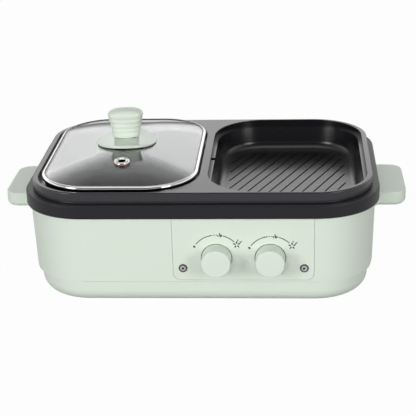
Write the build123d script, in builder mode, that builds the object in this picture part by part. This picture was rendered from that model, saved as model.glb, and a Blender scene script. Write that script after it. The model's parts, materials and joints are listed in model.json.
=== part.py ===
from build123d import *

import os
from math import atan2, degrees, hypot

os.makedirs("parts", exist_ok=True)

# Two-in-one electric cooker: a mint housing that carries a lift-off cast plate with a deep
# pot well on the left and a ribbed grill basin on the right, under a lift-off glass lid.
# Millimetres, +Z up, +X to the right seen from the dials. The feet stand on z = 0 and the
# origin is the middle of the bounding box's bottom.

# ---- Driving dimensions ---------------------------------------------------------------

# Levels
foot_height = 1.0            # rubber feet standing proud of the tray
seam_height = 26.5           # parting line between tray and shell
frame_bottom = 100.2         # top edge of the shell
frame_thickness = 15.0
plate_rim_height = 11.2      # cast rim above the frame
frame_top = frame_bottom + frame_thickness
plate_top = frame_top + plate_rim_height

# Shell and tray
frame_overhang = 4.5         # frame past the shell, all round
shell_draft = 0.03           # inset per millimetre going down
shell_wall = 3.2
roll_radius = 12.0           # rounded lower edge at the shell's two sides
roll_drop = 2.3              # how far that rounding would run below the seam
seam_gap = 0.4               # shadow line between shell and tray
tray_side_inset = 6.8        # tray inside the shell at its two sides
tray_front_inset = 2.6
tray_corner_inset = 3.5
tray_draft = 0.05
tray_round = 15.0
tray_wall = 2.6
lip_height = 4.0             # tray lip that locates the shell
lip_wall = 1.6
lip_clearance = 0.3

# Handles, moulded in one with the shell
handle_reach = 35.5          # each handle past the shell's side
handle_width = 89.4
handle_drop = 3.9            # from the shell's top edge to the handles' tops
handle_thickness = 16.4
handle_corner = 14.5
handle_root_round = 7.0
handle_edge = 1.2
handle_under_edge = 5.5

# Control panel, dials and pilot lights
panel_start = 26.0           # panel's left edge, left of the land between the wells
panel_width = 148.0
panel_rise = 2.3             # panel's lower edge above the seam
panel_corner = 8.0
panel_thickness = 2.4
panel_gap = 0.3
panel_ledge = 4.0            # ledge in the shell that backs the panel's edge
dial_inset = 46.0            # first dial's axis from the panel's left edge
dial_spacing = 56.3
dial_height = 54.0
dial_base_radius = 16.4
dial_face_radius = 15.1
dial_length = 18.0
dial_gap = 0.4               # from the dial's base to the floor of its well
dial_wall = 2.2
dial_edge = 1.2
dial_hub_radius = 5.4
dial_well_depth = 0.8
dial_well_clearance = 0.7
pilot_inset = 10.3           # pilot lights from the panel's two side edges
pilot_height = 42.4
pilot_radius = 4.65
pilot_lens_radius = 3.1
pilot_proud = 1.4
spindle_radius = 3.0
spindle_clearance = 0.05
bushing_radius = 4.7
bushing_clearance = 0.15
nut_across_flats = 14.0
nut_thickness = 2.5
thermostat_size = 28.0
thermostat_depth = 20.0

# Black frame
frame_length = 380.0
frame_depth = 264.0
frame_corner = 67.0
frame_edge = 2.0
frame_under_edge = 0.8
skirt_height = 8.0
skirt_wall = 1.4
skirt_clearance = 0.3

# Cast plate
plate_inset = 7.5            # plate's rim inside the frame's edge, all round
plate_corner_inset = 6.0
plate_edge = 1.6
shadow_gap = 1.2             # rebate between the plate's rim and the frame
well_side_rim = 6.0          # rim of the plate outside the two wells
well_end_rim = 3.5
well_corner_inset = 4.0
pot_right = -2.0             # land between the wells, from here to the grill's left edge
grill_left = 7.0
step_height = 8.0            # from the rim down to the ledge inside each well
pot_ledge = 9.2
grill_ledge = 3.2
casting_wall = 2.8
pot_depth = 60.4             # from the plate's top to the pot well's floor
pot_draft = 0.12
pot_floor_round = 14.0
grill_depth = 32.6
grill_draft = 0.18
grill_floor_round = 9.0
groove_angle = 66.9          # direction of the grill's grooves from +X
groove_pitch = 11.15
groove_shift = -1.5          # whole set of grooves, across their direction
groove_width = 1.8
groove_depth = 1.5
groove_side_margin = 3.1     # from the flat floor's edge to the groove ends
groove_end_margin = 11.4
groove_eye = 1.5             # round drain eye at each groove's left end
notch_width = 8.0
notch_y = 3.0

# Steel liner under the plate
liner_gap = 0.6              # between the casting and the liner
liner_sheet = 0.8
liner_draft = 0.035
liner_pot_drop = 16.0        # from each well's floor to the liner's floor under it
liner_grill_drop = 17.0
liner_flange = 2.3
liner_step = 5.2             # liner's step, left of the land

# Heaters
heater_radius = 3.3
heater_lift = 0.3            # between a heater and the casting above it
heater_end_margin = 36.0     # heater loop inside its well's opening
heater_side_margin = 29.75
heater_corner = 28.0
heater_tail_bend = 8.0
heater_tail_gap = 24.0
heater_tail_drop = 24.0
rest_width = 12.0
rest_length = 16.0

# Lid
lid_shift_x = 1.25           # lid's middle from the pot well's middle
lid_y = 1.5
lid_side_gap = 2.75          # lid's rim inside the pot well's opening
lid_end_gap = 2.5
lid_corner_inset = 2.0
lid_rim_rise = 3.8           # lid's rim above the plate
lid_rim_height = 4.4
lid_rim_width = 4.2
lid_rim_edge = 1.8
lid_skirt_inset = 2.6
lid_skirt_wall = 1.0
glass_thickness = 3.0
glass_inset = 1.2
glass_seat = 0.6
glass_crown = 12.7           # rise of the glass from its edge to its middle
crown_power = 1.7            # how the crown's sections fall off from the middle
crown_stretch = 0.7          # the same sections drawn out from back to front
glass_hole = 4.0
vent_offset = 67.0           # in front of the lid's middle
vent_shift = 3.0             # and to its right
vent_flange_radius = 8.4
vent_tube_radius = 5.3
vent_bore_radius = 3.4
vent_rise = 2.4
vent_funnel = 1.2            # flare of the vent's bore at its top
vent_seat_sink = 0.15        # flat seat ground into the crowned glass
vent_grip = 2.75             # glass between the vent's two seats
washer_thickness = 1.0
disc_radius = 33.2
disc_thickness = 3.5         # in the middle
disc_side_thickness = 1.5    # at its two sides
disc_droop = 5.0             # how far the guard disc's two sides fall below its middle
disc_rise = 4.2              # guard disc's top above the glass
neck_radius = 7.0
neck_height = 0.6
knob_bottom_radius = 14.7
knob_top_radius = 19.5
knob_height = 25.3           # from the knob's lower edge to its shoulder
knob_shoulder_height = 3.6
knob_dome = 3.6
knob_flat_bottom = 7.9       # from the knob's axis to each of its two flats, at its lower edge
knob_flat_top = 12.5         # and at its top: the flats lean out as the cone does
knob_turn = -2.0
knob_bands = 5
knob_band_pitch = 5.4
knob_groove_width = 0.9
knob_groove_depth = 0.9
knob_screw_radius = 2.5
screw_clearance = 0.05

# Feet, screws, inlet and inner parts
foot_side_inset = 43.7       # feet and bosses inside the tray's outline
foot_end_inset = 40.9
foot_radius = 8.0
foot_pocket = 1.4
foot_stem = 3.0
boss_side_inset = 32.7
boss_end_inset = 25.9
boss_radius = 4.8
boss_height = 18.0
boss_lift = 1.5              # tray's bosses above the seam
boss_roof = 1.0
base_screw_radius = 1.9
base_screw_head = 3.8
inlet_shift_x = 3.25         # mains inlet from the grill's middle
inlet_height = 50.0
inlet_flange_length = 50.0
inlet_flange_height = 26.0
inlet_flange_thickness = 3.0
inlet_tub_length = 30.0
inlet_tub_height = 22.0
inlet_tub_depth = 20.0
inlet_cavity_length = 24.4
inlet_cavity_height = 16.4
inlet_cavity_depth = 15.5
inlet_screw_spacing = 40.0
block_x = 62.0
block_y = 40.0
block_length = 40.0
block_depth = 22.0
block_height = 15.0
fuse_radius = 2.6
fuse_length = 24.0

foot_clearance = 0.3
foot_edge = 0.6
foot_barb = 2.0
screw_hole_gap = 0.3
screw_sink = 4.0
screw_head = 2.6
screw_slot = 1.0
screw_tip = 4.0              # from a base screw's end to the boss's top
vent_spread = 150.0
vent_pitch = 9.0
vent_count = 7
vent_length = 58.0
vent_width = 3.0
roll_start = 0.3
pad_radius = 12.5            # flat boss behind the panel at each dial
pad_height = 1.2
web_gap = 0.5                # from the tray's lip to the webs above it
pilot_sink = 0.4
thermostat_corner = 3.0
spindle_edge = 0.4
spindle_seat = 9.0           # how far each spindle enters its dial's hub
spade_spacing = 12.0
spade_thickness = 0.8
spade_width = 6.3
spade_length = 8.0
pilot_tube_radius = 4.0
pilot_tube_length = 12.0
pilot_edge = 0.5
pilot_lens_length = 3.0
pilot_lamp_length = 12.0
pilot_lamp_radius = 2.5
liner_fit = 0.3
liner_shelf = 1.0
well_lip_edge = 0.8
notch_depth = 4.0
groove_field_corner = 34.0
pin_radius = 1.6
pin_length = 7.0
ceramic_radius = 5.6
ceramic_flange = 2.5
ceramic_flange_height = 1.4
ceramic_length = 8.0
rest_spacing = 90.0
rest_corner = 1.5
fuse_drop = 3.4
fuse_clip_width = 8.0
inlet_corner = 3.0
inlet_edge = 1.0
inlet_screw_radius = 1.5
inlet_screw_head = 2.8
inlet_screw_sink = 1.6
inlet_screw_slot = 0.7
inlet_screw_length = 8.0
inlet_pin_spacing = 7.0
inlet_pin_drop = 2.0
inlet_pin_thickness = 2.0
inlet_pin_height = 4.0
inlet_pin_length = 10.5
glass_border = 0.6
crown_sections = (1.0, 0.87, 0.7, 0.5, 0.3, 0.12)
gasket_radius = 9.0
disc_edge = 0.6
knob_screw_reach = 13.5      # screw's length inside the knob
knob_band_edge = 0.8
knob_shoulder_round = 2.6
hub_gap = 1.0

# ---- Derived places -------------------------------------------------------------------

shell_length = frame_length - 2 * frame_overhang
shell_depth = frame_depth - 2 * frame_overhang
shell_corner = frame_corner - frame_overhang
tray_length = shell_length - 2 * tray_side_inset
tray_depth = shell_depth - 2 * tray_front_inset
tray_corner = shell_corner - tray_corner_inset
tray_top = seam_height - seam_gap
tray_floor = foot_height + tray_wall
handle_span = shell_length + 2 * handle_reach
handle_top = frame_bottom - handle_drop
plate_length = frame_length - 2 * plate_inset
plate_depth = frame_depth - 2 * plate_inset
plate_corner = frame_corner - plate_corner_inset
well_depth = plate_depth - 2 * well_end_rim
well_corner = plate_corner - well_corner_inset
pot_left = well_side_rim - plate_length / 2
grill_right = plate_length / 2 - well_side_rim
pot_middle = (pot_left + pot_right) / 2
grill_middle = (grill_left + grill_right) / 2
pot_length = pot_right - pot_left
grill_length = grill_right - grill_left
ledge_level = plate_top - step_height
pot_floor = plate_top - pot_depth
grill_floor = plate_top - grill_depth
liner_pot_floor = pot_floor - liner_pot_drop
liner_grill_floor = grill_floor - liner_grill_drop
liner_step_x = pot_right - liner_step
panel_left = pot_right - panel_start
panel_right = panel_left + panel_width
panel_bottom = seam_height + panel_rise
dial_x = (panel_left + dial_inset, panel_left + dial_inset + dial_spacing)
pilot_x = (panel_left + pilot_inset, panel_right - pilot_inset)
foot_x = tray_length / 2 - foot_side_inset
foot_y = tray_depth / 2 - foot_end_inset
boss_x = tray_length / 2 - boss_side_inset
boss_y = tray_depth / 2 - boss_end_inset
boss_joint = seam_height + boss_lift
boss_top = boss_joint + boss_height
inlet_x = grill_middle + inlet_shift_x
panel_face = shell_depth / 2 - shell_draft * (frame_bottom - dial_height)
dial_seat = panel_face - dial_well_depth
dial_base = dial_seat + dial_gap
dial_face = dial_base + dial_length
body_y = (dial_face - frame_depth / 2) / 2
casting_depth = well_depth - 2 * grill_ledge + 2 * casting_wall
casting_length = grill_right - pot_left - 2 * grill_ledge + 2 * casting_wall
liner_length = casting_length + 2 * liner_gap + 2 * liner_sheet
liner_depth = casting_depth + 2 * liner_gap + 2 * liner_sheet
liner_corner = well_corner - grill_ledge + casting_wall + liner_gap + liner_sheet
lid_x = pot_middle + lid_shift_x
lid_length = pot_length - 2 * lid_side_gap
lid_depth = well_depth - 2 * lid_end_gap
lid_corner = well_corner - lid_corner_inset
lid_rim_top = plate_top + lid_rim_rise
glass_edge_top = lid_rim_top - glass_seat
glass_edge_bottom = glass_edge_top - glass_thickness
glass_top = glass_edge_top + glass_crown
crown_length = lid_length - 2 * lid_rim_width - 2 * glass_border
crown_depth = lid_depth - 2 * lid_rim_width - 2 * glass_border
crown_corner = lid_corner - lid_rim_width - glass_border
crown_flat = 1 - crown_sections[-1] ** crown_power
vent_fall = (2 * vent_offset / crown_depth) ** (crown_power / crown_stretch)
vent_level = glass_edge_top + glass_crown * (1 - vent_fall) / crown_flat - vent_seat_sink
vent_slope = glass_crown * crown_power / crown_stretch * vent_fall / vent_offset / crown_flat
disc_top = glass_top + disc_rise
knob_bottom = disc_top + neck_height
knob_shoulder = knob_bottom + knob_height
knob_screw_top = knob_bottom + knob_screw_reach
thermostat_face = panel_face - panel_thickness - shell_draft * thermostat_size / 2 - bushing_clearance
hub_start = dial_seat + nut_thickness + 2 * spindle_edge + hub_gap
bushing_end = dial_seat + nut_thickness + hub_gap
spindle_end = thermostat_face - spindle_seat
pilot_face = shell_depth / 2 - shell_draft * (frame_bottom - pilot_height) - pilot_sink
inlet_seat = shell_depth / 2 - shell_draft * (frame_bottom - inlet_height + inlet_flange_height / 2) - 0.3
inlet_screw_places = [(-inlet_x + side * inlet_screw_spacing / 2, inlet_height) for side in (-1, 1)]
pot_heater_level = pot_floor - casting_wall - heater_lift - heater_radius
grill_heater_level = grill_floor - casting_wall - heater_lift - heater_radius


# ---- Shared forms ---------------------------------------------------------------------

def level(height):
    """Horizontal plane through the body's middle at a height."""
    return Plane(origin=(0, body_y, height))


def facing(reach):
    """Upright plane in front of the body's middle, drawn as seen from the front."""
    return Plane(origin=(0, body_y - reach, 0), x_dir=(1, 0, 0), z_dir=(0, -1, 0))


def rear(reach):
    """Upright plane behind the body's middle, drawn as seen from behind."""
    return Plane(origin=(0, body_y + reach, 0), x_dir=(-1, 0, 0), z_dir=(0, 1, 0))


def rounded_block(bottom, top, length, depth, corner, middle=0, mode=Mode.ADD):
    """Straight block with a rounded-rectangle outline between two levels."""
    with BuildSketch(level(bottom)) as outline:
        with Locations((middle, 0)):
            RectangleRounded(length, depth, corner)
    extrude(outline.sketch, amount=top - bottom, mode=mode)


def drafted_block(bottom, top, length, depth, corner, slope, middle=0, mode=Mode.ADD):
    """Block whose outline is given at its top and draws in by a slope going down."""
    inset = slope * (top - bottom)
    with BuildSketch(level(bottom)) as low:
        with Locations((middle, 0)):
            RectangleRounded(length - 2 * inset, depth - 2 * inset, corner - inset)
    with BuildSketch(level(top)) as high:
        with Locations((middle, 0)):
            RectangleRounded(length, depth, corner)
    loft([low.sketch, high.sketch], mode=mode)


def rod(plane, radius, amount, places=((0, 0),), mode=Mode.ADD):
    """Round bars that rise from a plane at the given places."""
    with BuildSketch(plane) as outline:
        with Locations(*places):
            Circle(radius)
    extrude(outline.sketch, amount=amount, mode=mode)


def panel_form(gap):
    """The control panel's block in the shell's front wall, grown all round by a gap."""
    drafted_block(seam_height, frame_bottom, shell_length, shell_depth, shell_corner, shell_draft)
    left = panel_left - gap
    right = panel_right + gap
    low = panel_bottom - gap
    with BuildSketch(facing(0)) as outline:
        with BuildLine():
            Polyline((left, frame_bottom), (left, low), (right, low), (right, frame_bottom), close=True)
        make_face()
        fillet(outline.vertices().group_by(Axis.Y)[0], panel_corner)
    extrude(outline.sketch, amount=shell_depth, mode=Mode.INTERSECT)
    inner_length = shell_length - 2 * panel_thickness
    inner_depth = shell_depth - 2 * panel_thickness
    drafted_block(
        seam_height, frame_bottom, inner_length, inner_depth,
        shell_corner - panel_thickness, shell_draft, mode=Mode.SUBTRACT,
    )


# ---- Base tray ------------------------------------------------------------------------

boss_places = [(x, y) for x in (-boss_x, boss_x) for y in (-boss_y, boss_y)]
foot_places = [(x, y) for x in (-foot_x, foot_x) for y in (-foot_y, foot_y)]
lip_length = tray_length - 2 * shell_wall - 2 * lip_clearance
lip_depth = tray_depth - 2 * shell_wall - 2 * lip_clearance
lip_corner = tray_corner - shell_wall - lip_clearance

with BuildPart() as base_tray:
    drafted_block(foot_height, tray_top, tray_length, tray_depth, tray_corner, tray_draft)
    fillet(base_tray.faces().sort_by(Axis.Z)[0].edges(), tray_round)
    offset(amount=-tray_wall, openings=base_tray.faces().sort_by(Axis.Z)[-1])
    # Lip that stands inside the shell, on a rib along the tray's wall
    rounded_block(
        tray_top - lip_height, tray_top, tray_length - tray_wall, tray_depth - tray_wall, tray_corner,
    )
    rounded_block(tray_top, tray_top + lip_height, lip_length, lip_depth, lip_corner)
    rounded_block(
        tray_top - lip_height, tray_top + lip_height, lip_length - 2 * lip_wall, lip_depth - 2 * lip_wall,
        lip_corner - lip_wall, mode=Mode.SUBTRACT,
    )
    # Screw bosses, with counterbored holes from below
    rod(
        level(tray_floor - tray_wall / 2), boss_radius, boss_joint - tray_floor + tray_wall / 2,
        boss_places,
    )
    rod(level(foot_height), base_screw_head + screw_hole_gap, screw_sink, boss_places, mode=Mode.SUBTRACT)
    rod(level(foot_height), base_screw_radius + screw_hole_gap, boss_joint, boss_places, mode=Mode.SUBTRACT)
    # Foot pockets and stem holes
    rod(level(foot_height), foot_radius + foot_clearance, foot_pocket, foot_places, mode=Mode.SUBTRACT)
    rod(level(foot_height), foot_stem + screw_clearance, tray_wall, foot_places, mode=Mode.SUBTRACT)
    # Cooling slots
    with BuildSketch(level(foot_height)):
        with GridLocations(vent_spread, vent_pitch, 2, vent_count):
            SlotOverall(vent_length, vent_width)
    extrude(amount=tray_wall, mode=Mode.SUBTRACT)
base_tray.part.label = "base_tray"
export_step(base_tray.part, "parts/base_tray.step")

with BuildPart() as rubber_feet:
    rod(level(0), foot_radius, foot_height + foot_pocket, foot_places)
    chamfer(rubber_feet.faces().group_by(Axis.Z)[0].edges(), foot_edge)
    rod(level(foot_height), foot_stem, tray_wall + foot_barb, foot_places)
    rod(level(tray_floor), foot_stem + foot_barb / 2, foot_barb, foot_places)
rubber_feet.part.label = "rubber_feet"
export_step(rubber_feet.part, "parts/rubber_feet.step")

with BuildPart() as base_screws:
    rod(level(foot_height + screw_sink - screw_head), base_screw_head, screw_head, boss_places)
    rod(
        level(foot_height + screw_sink), base_screw_radius,
        boss_top - screw_tip - foot_height - screw_sink, boss_places,
    )
    with BuildSketch(level(foot_height + screw_sink - screw_head)):
        with Locations(*boss_places):
            Rectangle(base_screw_head, screw_slot)
            Rectangle(screw_slot, base_screw_head)
    extrude(amount=screw_slot, mode=Mode.SUBTRACT)
base_screws.part.label = "base_screws"
export_step(base_screws.part, "parts/base_screws.step")

# ---- Upper shell with its two handles ---------------------------------------------------

with BuildPart() as handles:
    with BuildSketch(level(handle_top - handle_thickness)):
        RectangleRounded(handle_span, handle_width, handle_corner)
        Rectangle(shell_length - 1.4 * shell_wall, handle_width, mode=Mode.SUBTRACT)
    extrude(amount=handle_thickness)
    rims = handles.edges().filter_by(lambda e: abs(e.center().X) > shell_length / 2)
    fillet(rims.group_by(Axis.Z)[-1], handle_edge)
    rims = handles.edges().filter_by(lambda e: abs(e.center().X) > shell_length / 2)
    fillet(rims.group_by(Axis.Z)[0], handle_under_edge)

with BuildPart() as panel_recess:
    panel_form(panel_gap)

with BuildPart() as upper_shell:
    drafted_block(seam_height, frame_bottom, shell_length, shell_depth, shell_corner, shell_draft)
    # Rounded lower edge, at the two sides only
    half = shell_length / 2 - shell_draft * (frame_bottom - seam_height) + roll_start
    low = seam_height - roll_drop
    spread = half + shell_draft * (frame_top - low)
    with BuildSketch(facing(-shell_depth)) as roll:
        with BuildLine():
            Polyline((-spread, frame_top), (-half, low), (half, low), (spread, frame_top), close=True)
        make_face()
        fillet(roll.vertices().group_by(Axis.Y)[0], roll_radius)
    extrude(amount=2 * shell_depth, mode=Mode.INTERSECT)
    add(handles.part)
    underside = handle_top - handle_thickness
    roots = upper_shell.edges().filter_by(Axis.Y).filter_by(
        lambda e: abs(e.center().Z - underside) < 0.5 and abs(abs(e.center().X) - shell_length / 2) < 2
    )
    fillet(roots, handle_root_round)
    # Hollow: full width above, drawn in at the rounded sides below
    step = seam_height + roll_radius
    drafted_block(
        step, frame_bottom, shell_length - 2 * shell_wall, shell_depth - 2 * shell_wall,
        shell_corner - shell_wall, shell_draft, mode=Mode.SUBTRACT,
    )
    rounded_block(
        seam_height, step, tray_length - 2 * shell_wall, tray_depth - 2 * shell_wall,
        tray_corner - shell_wall, mode=Mode.SUBTRACT,
    )
    # Recess for the control panel, with a ledge behind its edge
    add(panel_recess.part, mode=Mode.SUBTRACT)
    with BuildSketch(facing(shell_depth / 2 - 3 * shell_wall)):
        with BuildLine():
            left = panel_left + panel_ledge
            right = panel_right - panel_ledge
            low = panel_bottom + panel_ledge
            high = frame_bottom - panel_ledge
            Polyline((left, high), (left, low), (right, low), (right, high), close=True)
        make_face()
    extrude(amount=4 * shell_wall, mode=Mode.SUBTRACT)
    # Screw bosses on webs that run out to the corners
    corner_x = shell_length / 2 - shell_corner
    corner_y = shell_depth / 2 - shell_corner
    reach = hypot(boss_x - corner_x, boss_y - corner_y)
    web_length = shell_corner - shell_wall - reach
    web_angle = degrees(atan2(boss_y - corner_y, boss_x - corner_x))
    web_share = (reach + web_length / 2) / reach
    rod(level(boss_joint), boss_radius, boss_top - boss_joint, boss_places)
    web_bottom = tray_top + lip_height + web_gap
    with BuildSketch(level(web_bottom)):
        for side in (-1, 1):
            for end in (-1, 1):
                web_x = side * (corner_x + (boss_x - corner_x) * web_share)
                web_y = end * (corner_y + (boss_y - corner_y) * web_share)
                with Locations(Location((web_x, web_y, 0), (0, 0, side * end * web_angle))):
                    Rectangle(web_length, shell_wall)
    extrude(amount=boss_top - web_bottom)
    rod(
        level(boss_joint), base_screw_radius + screw_clearance, boss_height - boss_roof, boss_places,
        mode=Mode.SUBTRACT,
    )
    # Flat seat and hole for the mains inlet
    with BuildSketch(rear(inlet_seat)):
        with Locations((-inlet_x, inlet_height)):
            RectangleRounded(
                inlet_flange_length + 2 * panel_gap, inlet_flange_height + 2 * panel_gap, inlet_corner,
            )
    extrude(amount=shell_wall, mode=Mode.SUBTRACT)
    with BuildSketch(rear(inlet_seat - 2 * shell_wall)):
        with Locations((-inlet_x, inlet_height)):
            RectangleRounded(
                inlet_tub_length + 2 * panel_gap, inlet_tub_height + 2 * panel_gap, inlet_corner,
            )
    extrude(amount=3 * shell_wall, mode=Mode.SUBTRACT)
    rod(
        rear(inlet_seat - 2 * shell_wall), inlet_screw_radius + screw_clearance, 3 * shell_wall,
        inlet_screw_places, mode=Mode.SUBTRACT,
    )
upper_shell.part.label = "upper_shell"
export_step(upper_shell.part, "parts/upper_shell.step")

# ---- Control panel ----------------------------------------------------------------------

dial_places = [(x, dial_height) for x in dial_x]
pilot_places = [(x, pilot_height) for x in pilot_x]

with BuildPart() as control_panel:
    panel_form(0)
    # Flat pads behind the dials, sunken wells in front of them, and through holes
    rod(facing(thermostat_face), pad_radius, pad_height, dial_places)
    rod(
        facing(dial_seat), dial_base_radius + dial_well_clearance, 2 * dial_length, dial_places,
        mode=Mode.SUBTRACT,
    )
    rod(
        facing(thermostat_face), bushing_radius + bushing_clearance, 2 * dial_length, dial_places,
        mode=Mode.SUBTRACT,
    )
    rod(
        facing(thermostat_face), pilot_tube_radius + screw_clearance, 2 * dial_length, pilot_places,
        mode=Mode.SUBTRACT,
    )
    rod(
        facing(pilot_face), pilot_radius + screw_clearance, 2 * dial_length, pilot_places,
        mode=Mode.SUBTRACT,
    )
control_panel.part.label = "control_panel"
export_step(control_panel.part, "parts/control_panel.step")

# ---- Dials, spindles and thermostats ------------------------------------------------------

for name, x in zip(("pot", "grill"), dial_x):
    axis_place = [(x, dial_height)]
    dial_taper = degrees(atan2(dial_base_radius - dial_face_radius, dial_length))

    with BuildPart() as dial:
        with BuildSketch(facing(dial_base)):
            with Locations(*axis_place):
                Circle(dial_base_radius)
        extrude(amount=dial_length, taper=dial_taper)
        fillet(dial.faces().sort_by(Axis.Y)[0].edges(), dial_edge)
        with BuildSketch(facing(dial_base)):
            with Locations(*axis_place):
                Circle(dial_base_radius - dial_wall)
        extrude(amount=dial_length - dial_wall, taper=dial_taper, mode=Mode.SUBTRACT)
        rod(facing(hub_start), dial_hub_radius, dial_face - dial_wall / 2 - hub_start, axis_place)
        rod(
            facing(hub_start), spindle_radius + spindle_clearance, spindle_seat, axis_place,
            mode=Mode.SUBTRACT,
        )
    dial.part.label = f"{name}_dial"
    export_step(dial.part, f"parts/{name}_dial.step")

    with BuildPart() as spindle:
        rod(facing(spindle_end), spindle_radius, hub_start + spindle_seat - spindle_end, axis_place)
        chamfer(spindle.edges().filter_by(GeomType.CIRCLE), spindle_edge)
    spindle.part.label = f"{name}_spindle"
    export_step(spindle.part, f"parts/{name}_spindle.step")

    with BuildPart() as thermostat:
        with BuildSketch(facing(thermostat_face - thermostat_depth)):
            with Locations(*axis_place):
                RectangleRounded(thermostat_size, thermostat_size, thermostat_corner)
        extrude(amount=thermostat_depth)
        rod(facing(thermostat_face), bushing_radius, bushing_end - thermostat_face, axis_place)
        rod(
            facing(spindle_end - hub_gap), spindle_radius + spindle_clearance, bushing_end, axis_place,
            mode=Mode.SUBTRACT,
        )
        # Spade terminals at the back
        with BuildSketch(facing(thermostat_face - thermostat_depth - spade_length)):
            with Locations((x - spade_spacing / 2, dial_height), (x + spade_spacing / 2, dial_height)):
                Rectangle(spade_thickness, spade_width)
        extrude(amount=spade_length)
    thermostat.part.label = f"{name}_thermostat"
    export_step(thermostat.part, f"parts/{name}_thermostat.step")

with BuildPart() as thermostat_nuts:
    with BuildSketch(facing(dial_seat)):
        with Locations(*dial_places):
            RegularPolygon(nut_across_flats / 2, 6, major_radius=False)
            Circle(bushing_radius + screw_clearance, mode=Mode.SUBTRACT)
    extrude(amount=nut_thickness)
thermostat_nuts.part.label = "thermostat_nuts"
export_step(thermostat_nuts.part, "parts/thermostat_nuts.step")

# ---- Pilot lights -------------------------------------------------------------------------

with BuildPart() as pilot_bezels:
    rod(facing(pilot_face), pilot_radius, pilot_proud, pilot_places)
    chamfer(pilot_bezels.faces().group_by(Axis.Y)[0].edges(), pilot_edge)
    rod(facing(pilot_face - pilot_tube_length), pilot_tube_radius, pilot_tube_length, pilot_places)
    rod(
        facing(pilot_face - pilot_tube_length), pilot_lens_radius, 2 * pilot_tube_length, pilot_places,
        mode=Mode.SUBTRACT,
    )
pilot_bezels.part.label = "pilot_bezels"
export_step(pilot_bezels.part, "parts/pilot_bezels.step")

with BuildPart() as pilot_lenses:
    rod(
        facing(pilot_face - pilot_lens_length), pilot_lens_radius, pilot_lens_length + pilot_proud,
        pilot_places,
    )
    fillet(pilot_lenses.faces().group_by(Axis.Y)[0].edges(), pilot_edge)
pilot_lenses.part.label = "pilot_lenses"
export_step(pilot_lenses.part, "parts/pilot_lenses.step")

with BuildPart() as pilot_lamps:
    rod(
        facing(pilot_face - pilot_lens_length - pilot_lamp_length), pilot_lamp_radius,
        pilot_lamp_length, pilot_places,
    )
    fillet(pilot_lamps.edges().filter_by(GeomType.CIRCLE), pilot_edge)
pilot_lamps.part.label = "pilot_lamps"
export_step(pilot_lamps.part, "parts/pilot_lamps.step")

# ---- Black frame ------------------------------------------------------------------------

skirt_inset = shell_wall + skirt_clearance
skirt_bottom = frame_bottom - skirt_height
skirt_draw = shell_draft * skirt_height

with BuildPart() as rim_frame:
    rounded_block(frame_bottom, frame_top, frame_length, frame_depth, frame_corner)
    fillet(rim_frame.faces().sort_by(Axis.Z)[-1].edges(), frame_edge)
    fillet(rim_frame.faces().sort_by(Axis.Z)[0].edges(), frame_under_edge)
    # Skirt that drops inside the shell
    rounded_block(
        skirt_bottom, frame_bottom, shell_length - 2 * skirt_inset - 2 * skirt_draw,
        shell_depth - 2 * skirt_inset - 2 * skirt_draw, shell_corner - skirt_inset,
    )
    rounded_block(
        skirt_bottom, frame_bottom, shell_length - 2 * skirt_inset - 2 * skirt_draw - 2 * skirt_wall,
        shell_depth - 2 * skirt_inset - 2 * skirt_draw - 2 * skirt_wall,
        shell_corner - skirt_inset - skirt_wall, mode=Mode.SUBTRACT,
    )
    # Opening, with a rebate for the liner's flange
    rounded_block(
        frame_bottom, frame_top, liner_length + 2 * liner_fit, liner_depth + 2 * liner_fit,
        liner_corner + liner_fit, mode=Mode.SUBTRACT,
    )
    flange_grow = 2 * liner_flange + 2 * liner_fit
    rounded_block(
        frame_top - liner_sheet, frame_top, liner_length + flange_grow, liner_depth + flange_grow,
        liner_corner + liner_flange + liner_fit, mode=Mode.SUBTRACT,
    )
rim_frame.part.label = "rim_frame"
export_step(rim_frame.part, "parts/rim_frame.step")

# ---- Cast cooking plate -------------------------------------------------------------------


def basin(floor, length, corner, ledge, slope, middle, bottom_round, grow):
    """Solid that fills a well below its ledge, grown outwards by a wall."""
    with BuildPart() as body:
        drafted_block(
            floor - grow, ledge_level, length - 2 * ledge + 2 * grow, well_depth - 2 * ledge + 2 * grow,
            corner - ledge + grow, slope, middle,
        )
        fillet(body.faces().sort_by(Axis.Z)[0].edges(), bottom_round + grow)
    return body.part


pot_shape = (pot_floor, pot_length, well_corner, pot_ledge, pot_draft, pot_middle, pot_floor_round)
grill_shape = (
    grill_floor, grill_length, well_corner, grill_ledge, grill_draft, grill_middle, grill_floor_round,
)
pot_casting = basin(*pot_shape, casting_wall)
pot_hollow = basin(*pot_shape, 0)
grill_casting = basin(*grill_shape, casting_wall)
grill_hollow = basin(*grill_shape, 0)

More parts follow.
